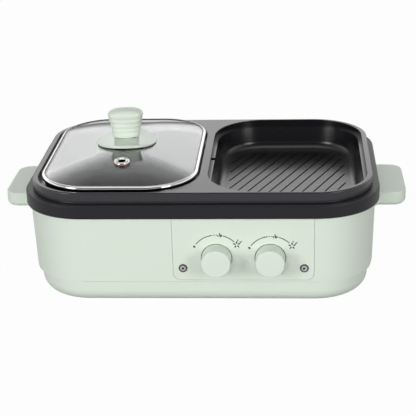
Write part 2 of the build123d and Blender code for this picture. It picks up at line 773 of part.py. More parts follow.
with BuildPart() as cooking_plate:
    rounded_block(frame_top + shadow_gap, plate_top, plate_length, plate_depth, plate_corner)
    fillet(cooking_plate.faces().sort_by(Axis.Z)[-1].edges(), plate_edge)
    rounded_block(
        frame_top, frame_top + shadow_gap, plate_length - 2 * shadow_gap, plate_depth - 2 * shadow_gap,
        plate_corner - shadow_gap,
    )
    add(pot_casting)
    add(grill_casting)
    # Stepped recesses and wells
    rounded_block(ledge_level, plate_top, pot_length, well_depth, well_corner, pot_middle, Mode.SUBTRACT)
    rounded_block(
        ledge_level, plate_top, grill_length, well_depth, well_corner, grill_middle, Mode.SUBTRACT,
    )
    lips = cooking_plate.faces().sort_by(Axis.Z)[-1].inner_wires().edges()
    fillet(lips, well_lip_edge)
    add(pot_hollow, mode=Mode.SUBTRACT)
    add(grill_hollow, mode=Mode.SUBTRACT)
    # Pouring notch in the grill's ledge, beside the land between the wells
    with BuildSketch(level(ledge_level - notch_depth)):
        with Locations((grill_left + grill_ledge / 2, notch_y)):
            Rectangle(grill_ledge, notch_width)
    extrude(amount=notch_depth, mode=Mode.SUBTRACT)
    # Slanting drain grooves between flat ribs, each with a round eye at its front end
    floor_drop = grill_draft * (ledge_level - grill_floor) + grill_floor_round
    groove_field_x = grill_length - 2 * grill_ledge - 2 * floor_drop - 2 * groove_side_margin
    groove_field_y = well_depth - 2 * grill_ledge - 2 * floor_drop - 2 * groove_end_margin
    groove_reach = hypot(groove_field_x, groove_field_y)
    groove_count = 2 * int(groove_reach / groove_pitch / 2) + 2
    with BuildSketch(level(grill_floor)) as grooves:
        with Locations(Location((grill_middle, 0, 0), (0, 0, groove_angle))):
            with Locations((0, groove_shift)):
                with GridLocations(0, groove_pitch, 1, groove_count):
                    Rectangle(groove_reach, groove_width)
        with Locations((grill_middle, 0)):
            RectangleRounded(groove_field_x, groove_field_y, groove_field_corner, mode=Mode.INTERSECT)
    extrude(amount=-groove_depth, mode=Mode.SUBTRACT)
    along = Plane.XY.rotated((0, 0, groove_angle)).x_dir
    eye_places = []
    for groove in grooves.sketch.faces():
        near, far = sorted(groove.vertices(), key=lambda v: v.X * along.X + v.Y * along.Y)[:2]
        eye_places.append(((near.X + far.X) / 2, (near.Y + far.Y) / 2 - body_y))
    rod(level(grill_floor), groove_eye, -groove_depth, eye_places, Mode.SUBTRACT)
cooking_plate.part.label = "cooking_plate"
export_step(cooking_plate.part, "parts/cooking_plate.step")

# ---- Steel liner ----------------------------------------------------------------------------

liner_fall = liner_draft * (frame_top - liner_grill_floor)
shelf_length = liner_length - 2 * liner_fall - 2 * liner_shelf
pocket_depth = liner_depth - 2 * liner_fall - 2 * liner_shelf
pocket_length = liner_step_x + shelf_length / 2
pocket_middle = (liner_step_x - shelf_length / 2) / 2
pocket_corner = liner_corner - liner_fall - liner_shelf
tail_y = well_depth / 2 - heater_end_margin
tail_places = [
    (middle + side * heater_tail_gap / 2, tail_y) for middle in (pot_middle, grill_middle) for side in (-1, 1)
]


def liner_form(inset, mode):
    """The liner's stepped pan, drawn in from its outside by an inset."""
    drafted_block(
        liner_grill_floor + inset - liner_sheet, frame_top, liner_length - 2 * inset,
        liner_depth - 2 * inset, liner_corner - inset, liner_draft, mode=mode,
    )
    drafted_block(
        liner_pot_floor + inset - liner_sheet, liner_grill_floor, pocket_length - 2 * inset,
        pocket_depth - 2 * inset, pocket_corner - inset, liner_draft, pocket_middle, mode,
    )


with BuildPart() as steel_liner:
    liner_form(0, Mode.ADD)
    rounded_block(
        frame_top - liner_sheet, frame_top, liner_length + 2 * liner_flange, liner_depth + 2 * liner_flange,
        liner_corner + liner_flange,
    )
    liner_form(liner_sheet, Mode.SUBTRACT)
    rod(
        level(liner_pot_floor - 2 * liner_sheet), ceramic_radius + screw_clearance, 3 * liner_sheet,
        tail_places[:2], Mode.SUBTRACT,
    )
    rod(
        level(liner_grill_floor - 2 * liner_sheet), ceramic_radius + screw_clearance, 3 * liner_sheet,
        tail_places[2:], Mode.SUBTRACT,
    )
steel_liner.part.label = "steel_liner"
export_step(steel_liner.part, "parts/steel_liner.step")

# ---- Heaters --------------------------------------------------------------------------------

heaters = (
    ("pot", pot_middle, pot_length / 2 - heater_side_margin, pot_heater_level, liner_pot_floor),
    ("grill", grill_middle, grill_length / 2 - heater_side_margin, grill_heater_level, liner_grill_floor),
)
for name, middle, half, height, floor in heaters:
    near = middle - heater_tail_gap / 2
    far = middle + heater_tail_gap / 2
    west = middle - half
    east = middle + half
    north = body_y + tail_y
    south = body_y - tail_y
    with BuildPart() as heater:
        with BuildLine() as path:
            FilletPolyline(
                (near, north, height - heater_tail_drop), (near, north, height), (west, north, height),
                (west, south, height), (east, south, height), (east, north, height), (far, north, height),
                (far, north, height - heater_tail_drop),
                radius=[heater_tail_bend] + [heater_corner] * 4 + [heater_tail_bend],
            )
        with BuildSketch(Plane(origin=path.line @ 0, z_dir=path.line % 0)):
            Circle(heater_radius)
        sweep()
    heater.part.label = f"{name}_heater"
    export_step(heater.part, f"parts/{name}_heater.step")

with BuildPart() as heater_pins:
    for name, middle, half, height, floor in heaters:
        ends = [(x, tail_y) for x in (middle - heater_tail_gap / 2, middle + heater_tail_gap / 2)]
        rod(level(height - heater_tail_drop - pin_length), pin_radius, pin_length, ends)
heater_pins.part.label = "heater_pins"
export_step(heater_pins.part, "parts/heater_pins.step")

with BuildPart() as heater_ceramics:
    for name, middle, half, height, floor in heaters:
        ends = [(x, tail_y) for x in (middle - heater_tail_gap / 2, middle + heater_tail_gap / 2)]
        rod(level(floor - ceramic_length), ceramic_radius, ceramic_length, ends)
        rod(level(floor), ceramic_radius + ceramic_flange, ceramic_flange_height, ends)
        rod(
            level(floor - ceramic_length), heater_radius + screw_clearance, 2 * ceramic_length, ends,
            Mode.SUBTRACT,
        )
heater_ceramics.part.label = "heater_ceramics"
export_step(heater_ceramics.part, "parts/heater_ceramics.step")

with BuildPart() as heater_rests:
    for name, middle, half, height, floor in heaters:
        legs = [middle - half, middle + half]
        with BuildSketch(level(floor)):
            with Locations(*[(x, y) for x in legs for y in (-rest_spacing / 2, rest_spacing / 2)]):
                RectangleRounded(rest_width, rest_length, rest_corner)
        extrude(amount=height - floor)
        rod(
            facing(-rest_spacing), heater_radius + screw_clearance, 2 * rest_spacing,
            [(x, height) for x in legs], Mode.SUBTRACT,
        )
heater_rests.part.label = "heater_rests"
export_step(heater_rests.part, "parts/heater_rests.step")

# ---- Fuses, terminal block and mains inlet ----------------------------------------------------

fuse_levels = [
    (pot_middle, liner_pot_floor - liner_sheet - fuse_drop),
    (grill_middle, liner_grill_floor - liner_sheet - fuse_drop),
]
with BuildPart() as thermal_fuses:
    rod(facing(-fuse_length / 2), fuse_radius, fuse_length, fuse_levels)
    chamfer(thermal_fuses.edges().filter_by(GeomType.CIRCLE), spindle_edge)
thermal_fuses.part.label = "thermal_fuses"
export_step(thermal_fuses.part, "parts/thermal_fuses.step")

with BuildPart() as fuse_clips:
    with BuildSketch(facing(-fuse_clip_width / 2)):
        with Locations(*[(x, height + fuse_drop / 2 - fuse_radius / 2) for x, height in fuse_levels]):
            RectangleRounded(4 * fuse_radius, fuse_drop + fuse_radius, spindle_edge)
        with Locations(*fuse_levels):
            Circle(fuse_radius + screw_clearance, mode=Mode.SUBTRACT)
            with Locations((0, -fuse_radius)):
                Rectangle(fuse_radius, 2 * fuse_radius, mode=Mode.SUBTRACT)
    extrude(amount=fuse_clip_width)
fuse_clips.part.label = "fuse_clips"
export_step(fuse_clips.part, "parts/fuse_clips.step")

with BuildPart() as terminal_block:
    with BuildSketch(level(tray_floor)):
        with Locations((block_x, block_y)):
            RectangleRounded(block_length, block_depth, rest_corner)
    extrude(amount=block_height)
    with BuildSketch(level(tray_floor + block_height)):
        with Locations((block_x, block_y)):
            with GridLocations(block_length / 3, block_depth / 2, 3, 2):
                Circle(base_screw_head / 2)
    extrude(amount=-block_height / 2, mode=Mode.SUBTRACT)
terminal_block.part.label = "terminal_block"
export_step(terminal_block.part, "parts/terminal_block.step")

with BuildPart() as mains_inlet:
    with BuildSketch(rear(inlet_seat)):
        with Locations((-inlet_x, inlet_height)):
            RectangleRounded(inlet_flange_length, inlet_flange_height, inlet_corner)
    extrude(amount=inlet_flange_thickness)
    fillet(mains_inlet.faces().sort_by(Axis.Y)[-1].edges(), inlet_edge)
    with BuildSketch(rear(inlet_seat - inlet_tub_depth)):
        with Locations((-inlet_x, inlet_height)):
            RectangleRounded(inlet_tub_length, inlet_tub_height, inlet_corner)
    extrude(amount=inlet_tub_depth)
    with BuildSketch(rear(inlet_seat + inlet_flange_thickness)) as socket:
        with Locations((-inlet_x, inlet_height)):
            Rectangle(inlet_cavity_length, inlet_cavity_height)
        chamfer(socket.vertices().group_by(Axis.Y)[-1], inlet_corner)
    extrude(amount=-inlet_cavity_depth, mode=Mode.SUBTRACT)
    rod(
        rear(inlet_seat), inlet_screw_radius + screw_clearance, inlet_flange_thickness,
        inlet_screw_places, Mode.SUBTRACT,
    )
    rod(
        rear(inlet_seat + inlet_flange_thickness), inlet_screw_head, -inlet_screw_sink,
        inlet_screw_places, Mode.SUBTRACT,
    )
mains_inlet.part.label = "mains_inlet"
export_step(mains_inlet.part, "parts/mains_inlet.step")

with BuildPart() as inlet_pins:
    pin_root = inlet_seat + inlet_flange_thickness - inlet_cavity_depth
    with BuildSketch(rear(pin_root)):
        with Locations((-inlet_x - inlet_pin_spacing, inlet_height - inlet_pin_drop),
                       (-inlet_x + inlet_pin_spacing, inlet_height - inlet_pin_drop),
                       (-inlet_x, inlet_height + inlet_pin_drop)):
            Rectangle(inlet_pin_thickness, inlet_pin_height)
    extrude(amount=inlet_pin_length)
inlet_pins.part.label = "inlet_pins"
export_step(inlet_pins.part, "parts/inlet_pins.step")

with BuildPart() as inlet_screws:
    seat = inlet_seat + inlet_flange_thickness - inlet_screw_sink
    rod(rear(seat), inlet_screw_head - screw_clearance, inlet_screw_sink, inlet_screw_places)
    rod(rear(seat - inlet_screw_length), inlet_screw_radius, inlet_screw_length, inlet_screw_places)
    with BuildSketch(rear(seat + inlet_screw_sink)):
        with Locations(*inlet_screw_places):
            Rectangle(inlet_screw_head, inlet_screw_slot)
            Rectangle(inlet_screw_slot, inlet_screw_head)
    extrude(amount=-inlet_screw_slot, mode=Mode.SUBTRACT)
inlet_screws.part.label = "inlet_screws"
export_step(inlet_screws.part, "parts/inlet_screws.step")

# ---- Lid ------------------------------------------------------------------------------------


def lid_block(bottom, top, inset, mode=Mode.ADD):
    """Straight block between two levels, with the lid's outline drawn in by an inset."""
    with BuildSketch(level(bottom)) as outline:
        with Locations((lid_x, lid_y)):
            RectangleRounded(lid_length - 2 * inset, lid_depth - 2 * inset, lid_corner - inset)
    extrude(outline.sketch, amount=top - bottom, mode=mode)


def crown_form(base, mode):
    """Cushion-shaped crown of the glass that rises from a base level."""
    sections = []
    for share in crown_sections:
        rise = glass_crown * (1 - share**crown_power) / crown_flat
        with BuildSketch(level(base + rise)) as outline:
            with Locations((lid_x, lid_y)):
                RectangleRounded(
                    crown_length * share, crown_depth * share**crown_stretch, crown_corner * share,
                )
        sections.append(outline.sketch)
    loft(sections, mode=mode)


knob_axis = [(lid_x, lid_y)]
vent_seat = Plane(
    origin=(lid_x + vent_shift, body_y + lid_y - vent_offset, vent_level), x_dir=(1, 0, 0),
    z_dir=(0, -vent_slope, 1),
)

with BuildPart() as lid_glass:
    lid_block(glass_edge_bottom, glass_edge_top, glass_inset)
    crown_form(glass_edge_top, Mode.ADD)
    crown_form(glass_edge_bottom, Mode.SUBTRACT)
    rod(level(glass_edge_bottom), glass_hole, 2 * glass_crown, knob_axis, Mode.SUBTRACT)
    # Steam vent's hole, between two flat seats
    rod(
        vent_seat.offset(-2 * glass_thickness), vent_tube_radius + screw_clearance, 4 * glass_thickness,
        mode=Mode.SUBTRACT,
    )
    rod(vent_seat, vent_flange_radius + screw_clearance, glass_thickness, mode=Mode.SUBTRACT)
    rod(
        vent_seat.offset(-vent_grip), vent_flange_radius + screw_clearance, -glass_thickness,
        mode=Mode.SUBTRACT,
    )
lid_glass.part.label = "lid_glass"
export_step(lid_glass.part, "parts/lid_glass.step")

with BuildPart() as lid_rim:
    lid_block(lid_rim_top - lid_rim_height, lid_rim_top, 0)
    fillet(lid_rim.faces().sort_by(Axis.Z)[-1].edges(), lid_rim_edge)
    lid_block(lid_rim_top - lid_rim_height, lid_rim_top, lid_rim_width, Mode.SUBTRACT)
    lid_block(glass_edge_bottom, glass_edge_top, glass_inset, Mode.SUBTRACT)
    # Skirt that stands on the pot's ledge
    lid_block(ledge_level, glass_edge_bottom, lid_skirt_inset)
    lid_block(ledge_level, glass_edge_bottom, lid_skirt_inset + lid_skirt_wall, Mode.SUBTRACT)
lid_rim.part.label = "lid_rim"
export_step(lid_rim.part, "parts/lid_rim.step")

with BuildPart() as vent_washer:
    rod(vent_seat, vent_flange_radius - washer_thickness, washer_thickness)
    rod(vent_seat, vent_tube_radius + screw_clearance, washer_thickness, mode=Mode.SUBTRACT)
vent_washer.part.label = "vent_washer"
export_step(vent_washer.part, "parts/vent_washer.step")

with BuildPart() as steam_vent:
    rod(vent_seat.offset(washer_thickness), vent_flange_radius, vent_rise)
    fillet(steam_vent.faces().sort_by(Axis.Z)[-1].edges(), vent_rise * 0.6)
    rod(
        vent_seat.offset(-vent_grip - vent_rise), vent_tube_radius,
        vent_grip + vent_rise + washer_thickness,
    )
    rod(vent_seat.offset(-vent_grip - vent_rise), vent_flange_radius - vent_rise / 2, vent_rise)
    rod(
        vent_seat.offset(-vent_grip - vent_rise), vent_bore_radius, 4 * glass_thickness,
        mode=Mode.SUBTRACT,
    )
    chamfer(steam_vent.faces().sort_by(Axis.Z)[-1].inner_wires().edges(), vent_funnel)
steam_vent.part.label = "steam_vent"
export_step(steam_vent.part, "parts/steam_vent.step")

with BuildPart() as knob_gaskets:
    rod(level(glass_top), gasket_radius, washer_thickness, knob_axis)
    rod(level(glass_top - glass_thickness - washer_thickness), gasket_radius, washer_thickness, knob_axis)
    rod(
        level(glass_top - 2 * glass_thickness), knob_screw_radius + screw_clearance,
        4 * glass_thickness, knob_axis, Mode.SUBTRACT,
    )
knob_gaskets.part.label = "knob_gaskets"
export_step(knob_gaskets.part, "parts/knob_gaskets.step")

washer_level = glass_top - glass_thickness - 2 * washer_thickness
with BuildPart() as knob_washer:
    rod(level(washer_level), gasket_radius, washer_thickness, knob_axis)
    rod(
        level(washer_level), knob_screw_radius + screw_clearance, washer_thickness, knob_axis,
        Mode.SUBTRACT,
    )
knob_washer.part.label = "knob_washer"
export_step(knob_washer.part, "parts/knob_washer.step")

with BuildPart() as knob_screw:
    rod(level(washer_level - screw_head), 2 * knob_screw_radius, screw_head, knob_axis)
    fillet(knob_screw.faces().sort_by(Axis.Z)[0].edges(), screw_slot)
    rod(level(washer_level), knob_screw_radius, knob_screw_top - washer_level, knob_axis)
knob_screw.part.label = "knob_screw"
export_step(knob_screw.part, "parts/knob_screw.step")

with BuildPart() as knob_disc:
    side_under = disc_top - disc_droop - disc_side_thickness
    under_top = disc_top - disc_thickness
    under_droop = under_top - side_under
    top_bend = (disc_radius**2 + disc_droop**2) / (2 * disc_droop)
    under_bend = (disc_radius**2 + under_droop**2) / (2 * under_droop)
    with BuildSketch(facing(2 * disc_radius)):
        with Locations((lid_x, disc_top - top_bend)):
            Circle(top_bend)
        with Locations((lid_x, under_top - under_bend)):
            Circle(under_bend, mode=Mode.SUBTRACT)
    extrude(amount=-4 * disc_radius)
    rod(level(side_under - disc_radius), disc_radius, 2 * disc_radius, knob_axis, Mode.INTERSECT)
    fillet(knob_disc.edges(), disc_edge)
    rod(
        level(disc_top - disc_thickness / 2), neck_radius, neck_height + disc_thickness / 2, knob_axis,
    )
    rod(level(glass_top), gasket_radius + screw_clearance, washer_thickness, knob_axis, Mode.SUBTRACT)
    rod(
        level(glass_top), knob_screw_radius + screw_clearance, knob_bottom - glass_top, knob_axis,
        Mode.SUBTRACT,
    )
knob_disc.part.label = "knob_disc"
export_step(knob_disc.part, "parts/knob_disc.step")

knob_slope = (knob_top_radius - knob_bottom_radius) / (knob_shoulder - knob_bottom)
knob_origin = (lid_x, body_y + lid_y, 0)
knob_top = knob_shoulder + knob_shoulder_height + knob_dome
knob_side = Plane(origin=knob_origin, x_dir=(0, 1, 0), z_dir=(1, 0, 0)).rotated((0, knob_turn, 0))
profile_plane = Plane(origin=knob_origin, x_dir=(1, 0, 0), z_dir=(0, -1, 0))


def knob_radius(height):
    """Radius of the knob's cone at a height."""
    return knob_bottom_radius + knob_slope * (height - knob_bottom)


def knob_flats(inset):
    """Cut the current knob part to two flats that lean out, one in front and one behind."""
    low, high = knob_flat_bottom - inset, knob_flat_top - inset
    with BuildSketch(knob_side) as slab:
        with BuildLine():
            Polyline((-high, knob_top), (-low, knob_bottom), (low, knob_bottom), (high, knob_top), close=True)
        make_face()
    extrude(slab.sketch, amount=2 * knob_top_radius, both=True, mode=Mode.INTERSECT)


with BuildPart() as knob_core:
    with BuildSketch(profile_plane):
        with BuildLine():
            Polyline(
                (0, knob_bottom), (knob_radius(knob_bottom) - knob_groove_depth, knob_bottom),
                (knob_top_radius - knob_groove_depth, knob_shoulder), (0, knob_shoulder), close=True,
            )
        make_face()
    revolve(axis=Axis(knob_origin, (0, 0, 1)))
    knob_flats(knob_groove_depth)

with BuildPart() as lid_knob:
    for band in range(knob_bands - 1):
        low = knob_bottom + band * knob_band_pitch + (knob_groove_width / 2 if band else 0)
        high = knob_bottom + (band + 1) * knob_band_pitch - knob_groove_width / 2
        with BuildSketch(profile_plane) as ring:
            with BuildLine():
                Polyline(
                    (0, low), (knob_radius(low), low), (knob_radius(high), high), (0, high),
                    close=True,
                )
            make_face()
            fillet(ring.vertices().group_by(Axis.X)[1:], knob_band_edge)
        revolve(axis=Axis(knob_origin, (0, 0, 1)))
    # Top band with its domed cap
    low = knob_bottom + (knob_bands - 1) * knob_band_pitch + knob_groove_width / 2
    rim_radius = knob_top_radius - knob_shoulder_round
    rim_height = knob_top - knob_dome * (rim_radius / knob_top_radius) ** 2
    half_height = knob_top - knob_dome * (rim_radius / knob_top_radius / 2) ** 2
    bulge = knob_shoulder_round * 0.25
    with BuildSketch(profile_plane):
        with BuildLine():
            Line((0, low), (knob_radius(low), low))
            Line((knob_radius(low), low), (knob_top_radius, knob_shoulder))
            ThreePointArc(
                (knob_top_radius, knob_shoulder),
                (knob_top_radius - bulge, (knob_shoulder + rim_height) / 2 + bulge),
                (rim_radius, rim_height),
            )
            ThreePointArc((rim_radius, rim_height), (rim_radius / 2, half_height), (0, knob_top))
            Line((0, knob_top), (0, low))
        make_face()
    revolve(axis=Axis(knob_origin, (0, 0, 1)))
    knob_flats(0)
    add(knob_core.part)
    rod(
        level(knob_bottom), knob_screw_radius + screw_clearance, knob_screw_top - knob_bottom,
        knob_axis, Mode.SUBTRACT,
    )
lid_knob.part.label = "lid_knob"
export_step(lid_knob.part, "parts/lid_knob.step")
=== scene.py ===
"""Dresses a two-in-one electric cooker.

The cooker has a mint housing with two handles, a black frame, a lift-off cast plate with a deep
pot well and a ribbed grill basin, and a loose glass lid with a mint knob. Each sub-assembly is a
class that builds its own pieces and puts the finishes on them.
"""

from __future__ import annotations

import json
import logging
import math
from collections.abc import Sequence
from dataclasses import dataclass
from enum import Enum

import bpy
import numpy as np
from mathutils import Matrix, Vector

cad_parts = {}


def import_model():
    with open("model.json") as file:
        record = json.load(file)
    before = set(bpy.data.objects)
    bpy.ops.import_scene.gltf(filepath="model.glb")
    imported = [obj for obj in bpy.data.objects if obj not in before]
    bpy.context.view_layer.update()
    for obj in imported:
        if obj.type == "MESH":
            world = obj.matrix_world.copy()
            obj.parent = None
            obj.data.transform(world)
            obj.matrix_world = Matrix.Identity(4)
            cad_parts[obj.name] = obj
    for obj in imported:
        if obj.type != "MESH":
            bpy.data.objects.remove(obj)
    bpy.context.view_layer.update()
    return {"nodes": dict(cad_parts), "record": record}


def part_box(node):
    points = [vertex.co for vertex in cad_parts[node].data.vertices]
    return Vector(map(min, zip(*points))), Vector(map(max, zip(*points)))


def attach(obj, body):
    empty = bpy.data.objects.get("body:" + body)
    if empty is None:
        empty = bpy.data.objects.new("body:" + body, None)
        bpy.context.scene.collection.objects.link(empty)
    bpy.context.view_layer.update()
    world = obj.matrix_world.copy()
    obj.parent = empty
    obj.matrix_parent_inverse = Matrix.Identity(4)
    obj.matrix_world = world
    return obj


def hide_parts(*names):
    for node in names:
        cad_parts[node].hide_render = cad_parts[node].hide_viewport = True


LOG = logging.getLogger("cooker")

MM = 0.001
BODY_Y = 5.857
ROUND_STEPS = 96
SHARP_ANGLE = math.radians(38)


class Body(Enum):
    """The cooker's bodies, by the names they carry in the frame."""

    BASE = "base"
    PLATE = "plate"
    LID = "lid"
    POT_CONTROL = "pot_control"
    GRILL_CONTROL = "grill_control"


class Slot(Enum):
    """Material slots of the record."""

    MINT = "mint_plastic"
    MINT_GLOSS = "mint_gloss"
    BLACK = "black_plastic"
    NONSTICK = "nonstick_cast"
    LINER = "liner_steel"
    HEATER = "heater_steel"
    BRASS = "contact_brass"
    CERAMIC = "ceramic"
    THERMOSTAT = "thermostat_body"
    PLATED = "plated_steel"
    INLET = "inlet_black"
    PILOT_METAL = "pilot_metal"
    PILOT_LENS = "pilot_lens"
    LAMP = "lamp_glass"
    RUBBER = "foot_rubber"
    SILICONE = "silicone"
    GLASS = "lid_glass"
    STEEL = "lid_steel"


# ---------------------------------------------------------------------------------------------
# Shader node groups
# ---------------------------------------------------------------------------------------------


class GroupKit:
    """Shader node groups that several finishes share."""

    def __init__(self) -> None:
        """Build every group once."""
        self.grain = self._mould_grain()
        self.brush = self._brushing()
        self.painted_sheen = self._painted_sheen_film()
        self.outside = self._outside_mask()

    @staticmethod
    def _group(
        name: str, inputs: dict[str, float], outputs: dict[str, str]
    ) -> tuple[bpy.types.NodeTree, bpy.types.Node, bpy.types.Node]:
        """Start a group with float inputs and typed outputs.

        Args:
            name: The group's name.
            inputs: Input names with their defaults.
            outputs: Output names with their socket types.

        Returns:
            The tree, its input node and its output node.
        """
        tree = bpy.data.node_groups.new(name, "ShaderNodeTree")
        for label, value in inputs.items():
            socket = tree.interface.new_socket(label, in_out="INPUT", socket_type="NodeSocketFloat")
            socket.default_value = value
        for label, kind in outputs.items():
            tree.interface.new_socket(label, in_out="OUTPUT", socket_type=kind)
        return tree, tree.nodes.new("NodeGroupInput"), tree.nodes.new("NodeGroupOutput")

    def _mould_grain(self) -> bpy.types.NodeTree:
        """Fine moulded or sprayed grain: pits as a normal, and slow drifts of roughness and tone.

        Returns:
            The node group.
        """
        tree, take, give = self._group(
            "mould_grain",
            {"Scale": 1400.0, "Depth": 0.00004, "Roughness": 0.4, "Spread": 0.06},
            {"Normal": "NodeSocketVector", "Roughness": "NodeSocketFloat", "Tone": "NodeSocketFloat"},
        )
        nodes, links = tree.nodes, tree.links
        place = nodes.new("ShaderNodeTexCoord")
        fine = nodes.new("ShaderNodeTexNoise")
        fine.inputs["Detail"].default_value = 2.0
        slow = nodes.new("ShaderNodeTexNoise")
        slow.inputs["Scale"].default_value = 14.0
        slow.inputs["Detail"].default_value = 3.0
        bump = nodes.new("ShaderNodeBump")
        bump.inputs["Strength"].default_value = 0.5
        centre = nodes.new("ShaderNodeMath")
        centre.operation = "SUBTRACT"
        centre.inputs[1].default_value = 0.5
        drift = nodes.new("ShaderNodeMath")
        drift.operation = "MULTIPLY_ADD"
        links.new(place.outputs["Object"], fine.inputs["Vector"])
        links.new(place.outputs["Object"], slow.inputs["Vector"])
        links.new(take.outputs["Scale"], fine.inputs["Scale"])
        links.new(fine.outputs["Fac"], bump.inputs["Height"])
        links.new(take.outputs["Depth"], bump.inputs["Distance"])
        links.new(slow.outputs["Fac"], centre.inputs[0])
        links.new(centre.outputs[0], drift.inputs[0])
        links.new(take.outputs["Spread"], drift.inputs[1])
        links.new(take.outputs["Roughness"], drift.inputs[2])
        links.new(bump.outputs["Normal"], give.inputs["Normal"])
        links.new(drift.outputs[0], give.inputs["Roughness"])
        links.new(slow.outputs["Fac"], give.inputs["Tone"])
        return tree

    def _brushing(self) -> bpy.types.NodeTree:
        """Fine brushing: noise drawn out along the horizontal, as a normal and a roughness.

        Returns:
            The node group.
        """
        tree, take, give = self._group(
            "brushing",
            {"Scale": 900.0, "Depth": 0.00001, "Roughness": 0.15, "Spread": 0.1},
            {"Normal": "NodeSocketVector", "Roughness": "NodeSocketFloat"},
        )
        nodes, links = tree.nodes, tree.links
        place = nodes.new("ShaderNodeTexCoord")
        stretch = nodes.new("ShaderNodeMapping")
        stretch.inputs["Scale"].default_value = (0.06, 0.06, 1.0)
        streaks = nodes.new("ShaderNodeTexNoise")
        streaks.inputs["Detail"].default_value = 3.0
        bump = nodes.new("ShaderNodeBump")
        bump.inputs["Strength"].default_value = 0.35
        spread = nodes.new("ShaderNodeMath")
        spread.operation = "MULTIPLY_ADD"
        links.new(place.outputs["Object"], stretch.inputs["Vector"])
        links.new(stretch.outputs[0], streaks.inputs["Vector"])
        links.new(take.outputs["Scale"], streaks.inputs["Scale"])
        links.new(streaks.outputs["Fac"], bump.inputs["Height"])
        links.new(take.outputs["Depth"], bump.inputs["Distance"])
        links.new(streaks.outputs["Fac"], spread.inputs[0])
        links.new(take.outputs["Spread"], spread.inputs[1])
        links.new(take.outputs["Roughness"], spread.inputs[2])
        links.new(bump.outputs["Normal"], give.inputs["Normal"])
        links.new(spread.outputs[0], give.inputs["Roughness"])
        return tree

    def _painted_sheen_film(self) -> bpy.types.NodeTree:
        """A faint pale veil on faces that look up, in soft patches, as a mask: painted sheen.

        Returns:
            The node group.
        """
        tree, take, give = self._group("painted_sheen_film", {"Amount": 0.05}, {"Mask": "NodeSocketFloat"})
        nodes, links = tree.nodes, tree.links
        place = nodes.new("ShaderNodeTexCoord")
        shape = nodes.new("ShaderNodeNewGeometry")
        split = nodes.new("ShaderNodeSeparateXYZ")
        up = nodes.new("ShaderNodeMapRange")
        up.inputs["From Min"].default_value = 0.55
        patch = nodes.new("ShaderNodeTexNoise")
        patch.inputs["Scale"].default_value = 60.0
        patch.inputs["Detail"].default_value = 5.0
        both = nodes.new("ShaderNodeMath")
        both.operation = "MULTIPLY"
        share = nodes.new("ShaderNodeMath")
        share.operation = "MULTIPLY"
        links.new(place.outputs["Object"], patch.inputs["Vector"])
        links.new(shape.outputs["Normal"], split.inputs[0])
        links.new(split.outputs["Z"], up.inputs["Value"])
        links.new(up.outputs["Result"], both.inputs[0])
        links.new(patch.outputs["Fac"], both.inputs[1])
        links.new(both.outputs[0], share.inputs[0])
        links.new(take.outputs["Amount"], share.inputs[1])
        links.new(share.outputs[0], give.inputs["Mask"])
        return tree

    def _outside_mask(self) -> bpy.types.NodeTree:
        """Faces that look away from the middle of the cooker, as a mask: place dot normal is large.

        Returns:
            The node group.
        """
        tree, take, give = self._group("outside_mask", {"Reach": 0.09}, {"Mask": "NodeSocketFloat"})
        nodes, links = tree.nodes, tree.links
        place = nodes.new("ShaderNodeTexCoord")
        shape = nodes.new("ShaderNodeNewGeometry")
        flat = nodes.new("ShaderNodeVectorMath")
        flat.operation = "MULTIPLY"
        flat.inputs[1].default_value = (1.0, 1.0, 0.0)
        outward = nodes.new("ShaderNodeVectorMath")
        outward.operation = "DOT_PRODUCT"
        beyond = nodes.new("ShaderNodeMath")
        beyond.operation = "SUBTRACT"
        mask = nodes.new("ShaderNodeMapRange")
        mask.inputs["From Max"].default_value = 0.012
        links.new(place.outputs["Object"], flat.inputs[0])
        links.new(flat.outputs[0], outward.inputs[0])
        links.new(shape.outputs["Normal"], outward.inputs[1])
        links.new(outward.outputs["Value"], beyond.inputs[0])
        links.new(take.outputs["Reach"], beyond.inputs[1])
        links.new(beyond.outputs[0], mask.inputs["Value"])
        links.new(mask.outputs["Result"], give.inputs["Mask"])
        return tree


# ---------------------------------------------------------------------------------------------
# Finishes
# ---------------------------------------------------------------------------------------------


class Surface(Enum):
    """How a finish's surface is broken up."""

    GRAIN = "grain"
    BRUSHED = "brushed"


